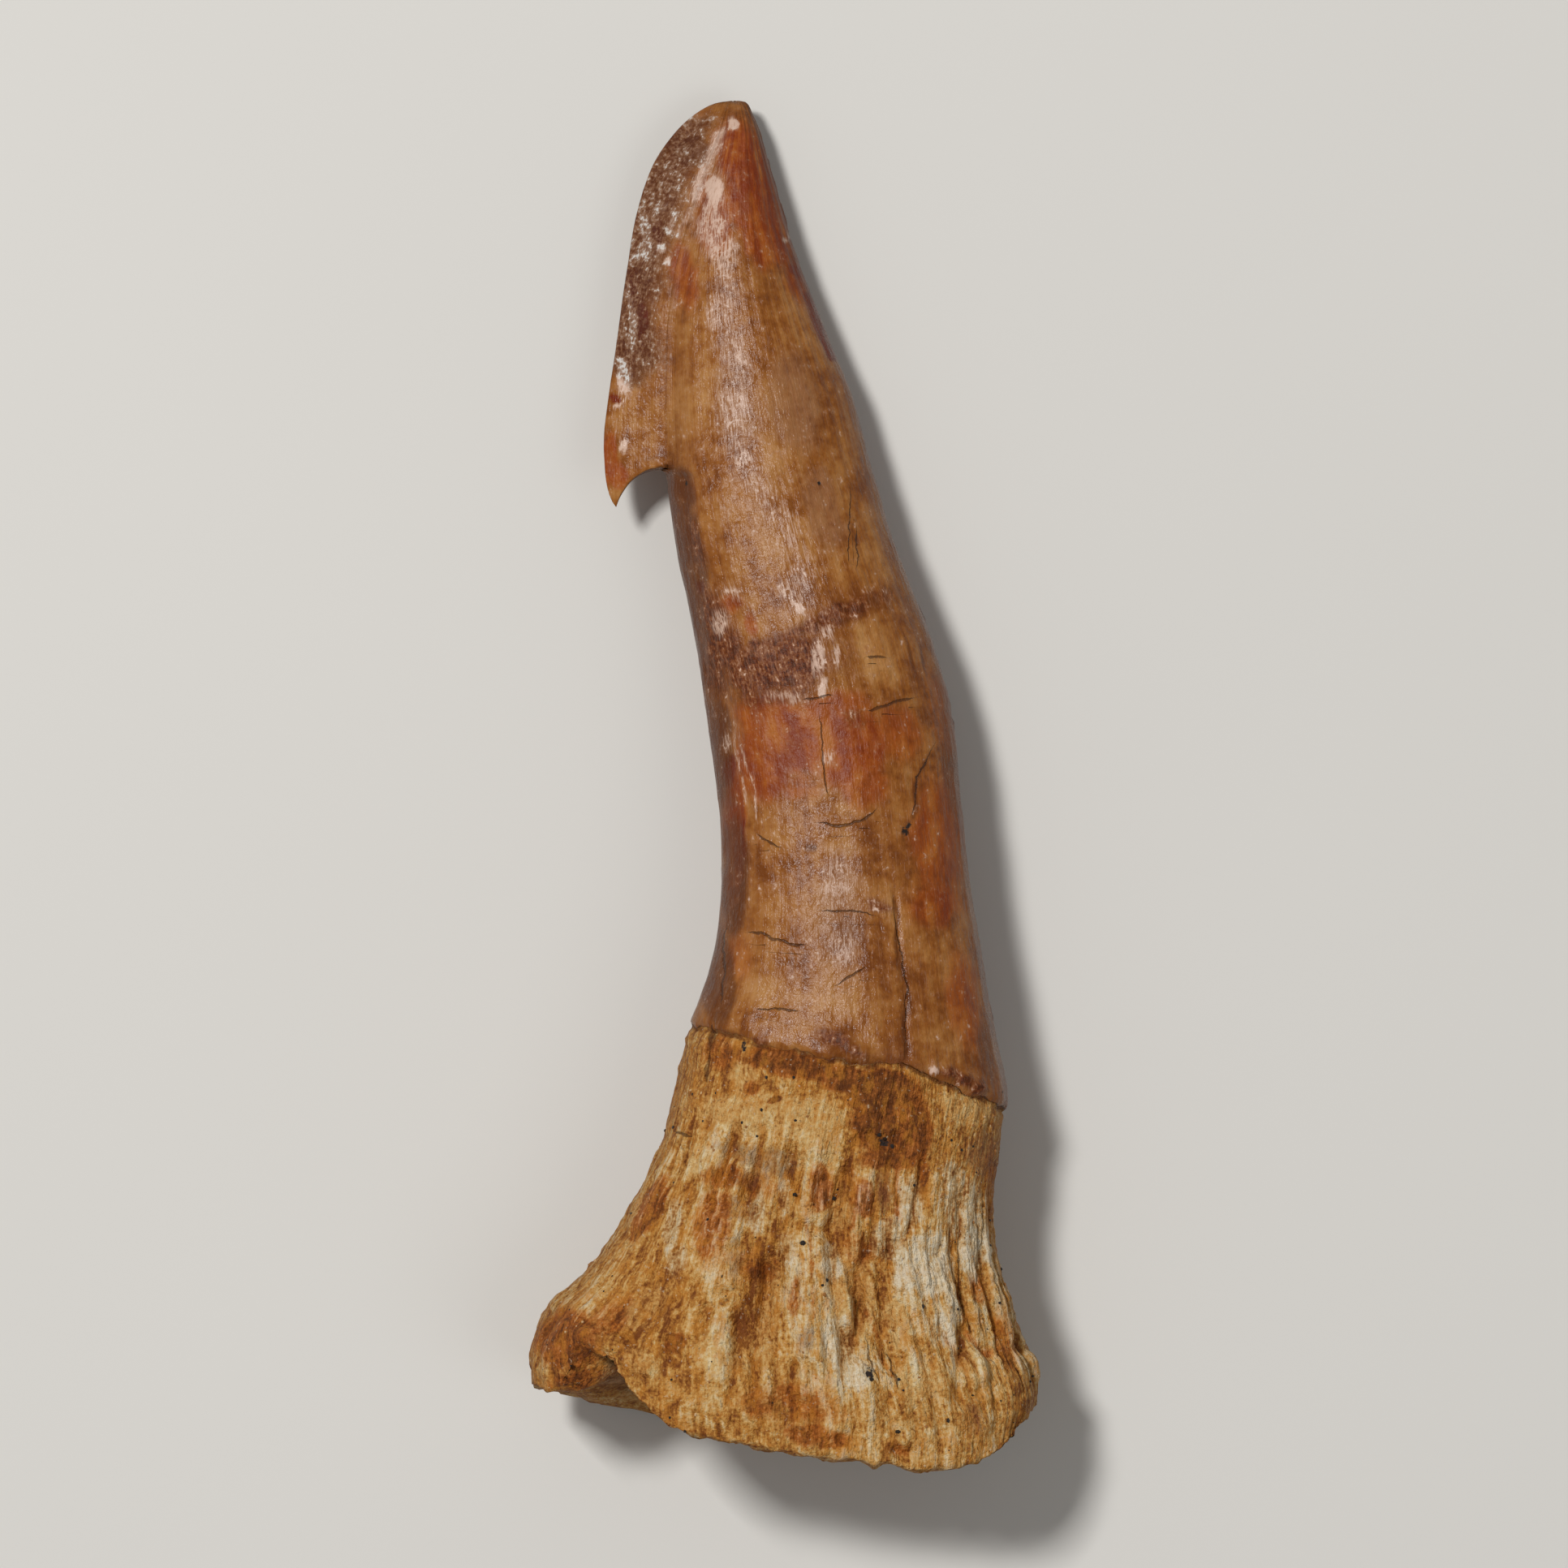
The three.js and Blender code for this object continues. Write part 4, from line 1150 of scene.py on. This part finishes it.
def bone_colour(g, grain, mask, mottle, speckle):
    """The dull root: dark and rusty in its grooves, cream to chalky on its ribs."""
    bend = g.swing(0.0, (g.noise(g.place, 1.6, 3), 1.2))
    bent = g.vector("ADD", grain, g.scaled((1.0, 0.0, 1.0), bend))
    streak = g.noise(bent, (0.20, 2.2, 0.20), 4, 0.65)
    thread = g.noise(grain, (0.10, 1.2, 0.10), 3, 0.6)
    drift = g.noise(g.place, 1.5, 5, 0.65)
    pale = g.swing(0.07, (streak, 1.0), (thread, 0.9), (mottle, 0.7), (speckle, 0.8))
    pale = g.total(pale, (mask.ribs, 0.75), (mask.bone, 0.06))
    colour = g.ramp(pale, PLAIN_BONE)
    fray = g.swing(0.5, (drift, 0.9), (speckle, 0.3))
    colour = g.stain(colour, g.ramp(pale, CREAM_BONE), mask.bone, fray, 1.0, 0.25, 1.0)
    burnt = g.total(pale, (g.math("SUBTRACT", 0.75, mask.rust), 0.30))
    fray = g.swing(0.5, (drift, 1.0), (mottle, 0.6), (streak, 0.5))
    colour = g.stain(colour, g.ramp(burnt, RUSTY_BONE), mask.rust, fray, 1.7, 0.35, 0.9)
    on_ribs = g.total(g.swing(0.15, (streak, 0.8), (thread, 0.9)), (mask.ribs, 0.6))
    chalk = g.ragged(mask.frost, on_ribs, 1.3, 0.35)
    colour = g.mix(g.times(chalk, 0.78), colour, g.ramp(pale, CHALKY_BONE))
    fray = g.swing(0.5, (mottle, 0.9), (streak, 0.9))
    colour = g.stain(colour, MAUVE, mask.umber, fray, 1.5, 0.4, 0.5)
    gilt = g.steps(g.noise(g.place, (0.5, 1.1, 0.5), 5, 0.65), 0.49, 0.62)
    gilt = g.times(gilt, g.math("SUBTRACT", 0.50, g.times(chalk, 0.38)))
    colour = g.mix(gilt, colour, GOLD)
    speck = g.noise(g.place, 0.20, 2)
    colour = g.mix(g.times(g.steps(speck, 0.38, 0.28), 0.5), colour, DARK_RUST_AND_LEDGE_SHADOW)
    return g.mix(g.times(g.steps(speck, 0.66, 0.74), 0.45), colour, CHALK)


def crack_line(g, mask):
    """1 along each crack, broken here and there and thinning towards its ends."""
    wobble = g.swing(0.0, (g.noise(g.place, 0.45, 4, 0.6), 0.24))
    off = g.math("ABSOLUTE", g.math("ADD", mask.crack_side, wobble))
    width = g.total(0.001, (g.times(mask.crack, g.noise(g.place, 0.5, 3)), 0.13))
    return g.steps(g.math("DIVIDE", off, width), 1.2, 0.2)


def join_at_seam(g, enamel, bone, seam, on_root):
    """Enamel above the seam and bone below it, with a dark broken line along it: rust in the
    joint, and painted shadow under the enamel's ledge.
    """
    # painted shadow under the enamel's ledge, mixed with the joint's dark rust
    beside = g.steps(g.math("ABSOLUTE", g.math("SUBTRACT", seam, 0.08)), 0.20, 0.02)
    beside = g.times(beside, g.steps(g.noise(g.place, 1.1, 2), 0.36, 0.52))
    return g.mix(g.times(beside, 0.8), g.mix(on_root, enamel, bone), DARK_RUST_AND_LEDGE_SHADOW)


def tooth_height(g, grain, mask, on_root, crack):
    """Fine relief in millimetres: wrinkles on the enamel, pores and grains on the root."""
    wrinkle = g.noise(g.vector("MULTIPLY", g.place, (1.0, 0.6, 1.0)), 0.30, 4, 0.6)
    hair = g.noise(grain, (0.09, 2.5, 0.09), 2)
    grit = g.noise(g.place, 0.15, 3, 0.65)
    sugary = g.math("MAXIMUM", mask.bevel, g.times(mask.umber, 0.5))
    enamel = g.total(0.0, (wrinkle, 0.085), (hair, 0.02), (g.times(grit, sugary), 0.12))
    fibre = g.noise(grain, (0.20, 2.2, 0.20), 3, 0.6)
    bone = g.total(0.0, (grit, 0.14), (wrinkle, 0.14), (fibre, 0.22))
    off_root = g.math("SUBTRACT", 1.0, on_root)
    height = g.total(g.times(enamel, off_root), (bone, on_root))
    return g.total(height, (crack, -0.06))


def tooth_material():
    """Enamel above the seam and bone below it, with the cracks and stains of each."""
    g = Graph("fossil_tooth")
    grain = g.held("grain", "Vector")
    mask = SimpleNamespace(**{name: g.held(name) for name in SHADED_VALUES})
    mottle = g.noise(g.place, 0.55, 5, 0.6)
    speckle = g.noise(g.place, 0.17, 3, 0.6)
    seam = g.total(mask.seam, (g.swing(0.0, (mottle, 0.3)), 1.0))
    on_root = g.steps(seam, -0.02, 0.05)

    enamel = enamel_colour(g, grain, mask, mottle)
    enamel = stains_on_enamel(g, enamel, grain, mask, mottle, speckle)
    bone = bone_colour(g, grain, mask, mottle, speckle)
    colour = join_at_seam(g, enamel, bone, seam, on_root)
    packed = g.swing(0.5, (g.noise(g.place, 1.6, 5, 0.7), 1.0), (speckle, 0.7))
    cavity = g.mix(g.steps(packed, 0.28, 0.72), CAVITY_DARK, CAVITY)
    colour = g.mix(mask.hollow, colour, cavity)
    # Painted shade: the steep sides darkened towards dark brown, less on the root
    shade = g.math("SUBTRACT", 0.62, g.times(on_root, 0.35))
    colour = g.mix(g.times(mask.side, shade), colour, DUSK_AND_SIDE_SHADE)
    crack = crack_line(g, mask)
    colour = g.mix(g.times(crack, 0.70), colour, CRACK)
    colour = g.stain(colour, INK, mask.ink, speckle, 1.6, 0.2, 1.0)

    is_dull = g.math("MAXIMUM", on_root, g.times(mask.umber, 0.5))
    rough = g.swing(0.24, (mottle, 0.35))
    rough = g.total(rough, (is_dull, 0.38), (mask.orange, 0.16))
    height = tooth_height(g, grain, mask, on_root, crack)
    normal = g.add("Bump", {"Height": height, "Distance": MM, "Strength": 1.0})
    return g.shade(Base_Color=colour, Roughness=rough, Specular_IOR_Level=0.20, Normal=normal)


def floor_material():
    """A plain pale matt surface, with just enough grain not to look blank."""
    g = Graph("floor")
    colour = g.mix(g.noise(g.place, 60.0, 2), srgb(212, 209, 203), srgb(217, 214, 208))
    return g.shade(Base_Color=colour, Roughness=0.85)


# ---- sand on the root ----

GRAIN_SEED = 11
LOOSE_GRAINS = 420
LOOSE_RADII = (0.04, 0.10)
LOOSE_TINTS = [0.0, 0.4, 0.4, 0.9]
# How deep each grain is sunk, as a share of its radius, and how it varies in shape: in
# its three widths, and at each corner
GRAIN_SINK = 0.35
GRAIN_WIDTHS = (0.75, 1.2)
GRAIN_CORNERS = (0.85, 1.1)
# Loose grains lie below the first on the tooth, and above the second over the floor;
# black ones lie where a normal's z is above the third
SAND_BELOW_Y = -13.5
SAND_ABOVE_Z = 0.6
FACING_UP = 0.2

# Black grains at named places on the front: x, y, and radius
BLACK_GRAINS = [
    (-3.34, -19.11, 0.11), (0.52, -18.07, 0.15), (2.09, -18.21, 0.14), (0.88, -20.14, 0.16),
    (1.84, -21.71, 0.13), (6.05, -23, 0.12), (-0.3, -25.75, 0.15), (3.88, -26.07, 0.12),
    (5.02, -28.36, 0.14), (7.2, -27.96, 0.13), (8.27, -26.86, 0.09), (-0.95, -14.43, 0.1),
    (0.48, -12.93, 0.09), (4.45, -15.68, 0.14), (4.15, -15.45, 0.12), (4.7, -15.95, 0.12),
    (1.7, -22.05, 0.09), (-0.75, -12.95, 0.12), (5.05, -26.1, 0.12), (-2.7, -21.6, 0.11),
]


def pebble():
    """A ball of 20 faces and radius 1 round the origin, as corners and faces."""
    shape = bmesh.new()
    bmesh.ops.create_icosphere(shape, subdivisions=1, radius=1.0)
    shape.verts.index_update()
    corners = np.array([tuple(vertex.co) for vertex in shape.verts])
    faces = [[vertex.index for vertex in face.verts] for face in shape.faces]
    shape.free()
    return corners, faces


def sand_material():
    """Each grain in a plain mineral colour of its own, from black to amber to glassy."""
    g = Graph("sand")
    tint = g.held("tint")
    colour = g.mix(g.steps(tint, 0.15, 0.25), srgb(38, 32, 28), srgb(150, 100, 50))
    colour = g.mix(g.steps(tint, 0.50, 0.75), colour, srgb(196, 162, 118))
    return g.shade(Base_Color=colour, Roughness=g.total(0.3, (tint, 0.2)))


def make_sand(placed, normal):
    """Grains of sand stuck half sunk on the root, joined in one mesh."""
    random = np.random.default_rng(GRAIN_SEED)
    surface, facing = placed.reshape(-1, 3), normal.reshape(-1, 3)
    hidden = np.where(facing[:, 2] > FACING_UP, 0, np.inf)
    spots = []
    for x, y, radius in BLACK_GRAINS:
        distance = np.hypot(surface[:, 0] - x, surface[:, 1] - y) + hidden
        spots.append((np.argmin(distance), radius, 0.0))
    on_root = (surface[:, 1] < SAND_BELOW_Y) & (surface[:, 2] > SAND_ABOVE_Z)
    for index in random.choice(np.flatnonzero(on_root), LOOSE_GRAINS, replace=False):
        spots.append((index, random.uniform(*LOOSE_RADII), random.choice(LOOSE_TINTS)))
    ball, ball_faces = pebble()
    vertices, faces, tints = [], [], []
    for index, radius, tint in spots:
        rough = ball * random.uniform(*GRAIN_WIDTHS, 3)
        rough = rough * random.uniform(*GRAIN_CORNERS, (len(ball), 1))
        faces += [[corner + len(tints) for corner in face] for face in ball_faces]
        vertices.append(surface[index] - facing[index] * radius * GRAIN_SINK + rough * radius)
        tints += [tint] * len(ball)
    sand = add_mesh("sand_grains", np.concatenate(vertices), faces, sand_material())
    sand.data.polygons.foreach_set("use_smooth", [False] * len(faces))
    add_values(sand.data, "tint", np.array(tints))
    return sand


# ---- camera, light, floor ----

# The picture is this wide at this height over the floor
FRAME_WIDTH = 69.0
FRAME_LEVEL = 5.0
LENS = 400.0
SENSOR = 36.0
CAMERA_Y = -0.12
FLOOR_HALF = 600
# Each light's place and size in metres, and its power in watts
LIGHTS = {
    "key": ((-0.221, 0.195, 0.579), 0.10, 3.2),
    "fill": ((0.45, -0.25, 0.80), 0.50, 0.8),
}
SURROUND = 0.22


def add_camera():
    """Straight above the tooth, with the tip at the top of the picture."""
    data = bpy.data.cameras.new("camera")
    data.lens = LENS
    data.sensor_width = SENSOR
    data.clip_start = 0.01
    data.clip_end = 10
    camera = add_object("camera", data)
    height = FRAME_WIDTH * LENS / SENSOR + FRAME_LEVEL
    camera.location = (0, CAMERA_Y * MM, height * MM)
    bpy.context.scene.camera = camera


def add_light(name, place, size, power):
    """A square soft light at a place, aimed at the tooth."""
    data = bpy.data.lights.new(name, "AREA")
    data.size = size
    data.energy = power
    light = add_object(name, data)
    light.location = place
    light.rotation_euler = (-Vector(place)).to_track_quat("-Z", "Y").to_euler()
    light.visible_camera = False


def add_studio():
    """A soft key light from the upper left, a wide fill, and a faint pale surround."""
    for name, (place, size, power) in LIGHTS.items():
        add_light(name, place, size, power)
    world = bpy.data.worlds.new("studio")
    world.use_nodes = True
    surround = world.node_tree.nodes["Background"]
    surround.inputs["Color"].default_value = (1, 1, 1, 1)
    surround.inputs["Strength"].default_value = SURROUND
    bpy.context.scene.world = world
    bpy.context.scene.view_settings.view_transform = "Standard"


def add_floor():
    """A wide pale surface that the tooth lies on."""
    far = FLOOR_HALF
    corners = [(-far, -far, 0), (far, -far, 0), (far, far, 0), (-far, far, 0)]
    add_mesh("floor", corners, [(0, 1, 2, 3)], floor_material())


tooth, placed, normal = make_tooth(tooth_material())
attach(tooth, "root")
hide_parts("tooth")

sand = make_sand(placed, normal)
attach(sand, "root")

add_floor()
add_camera()
add_studio()
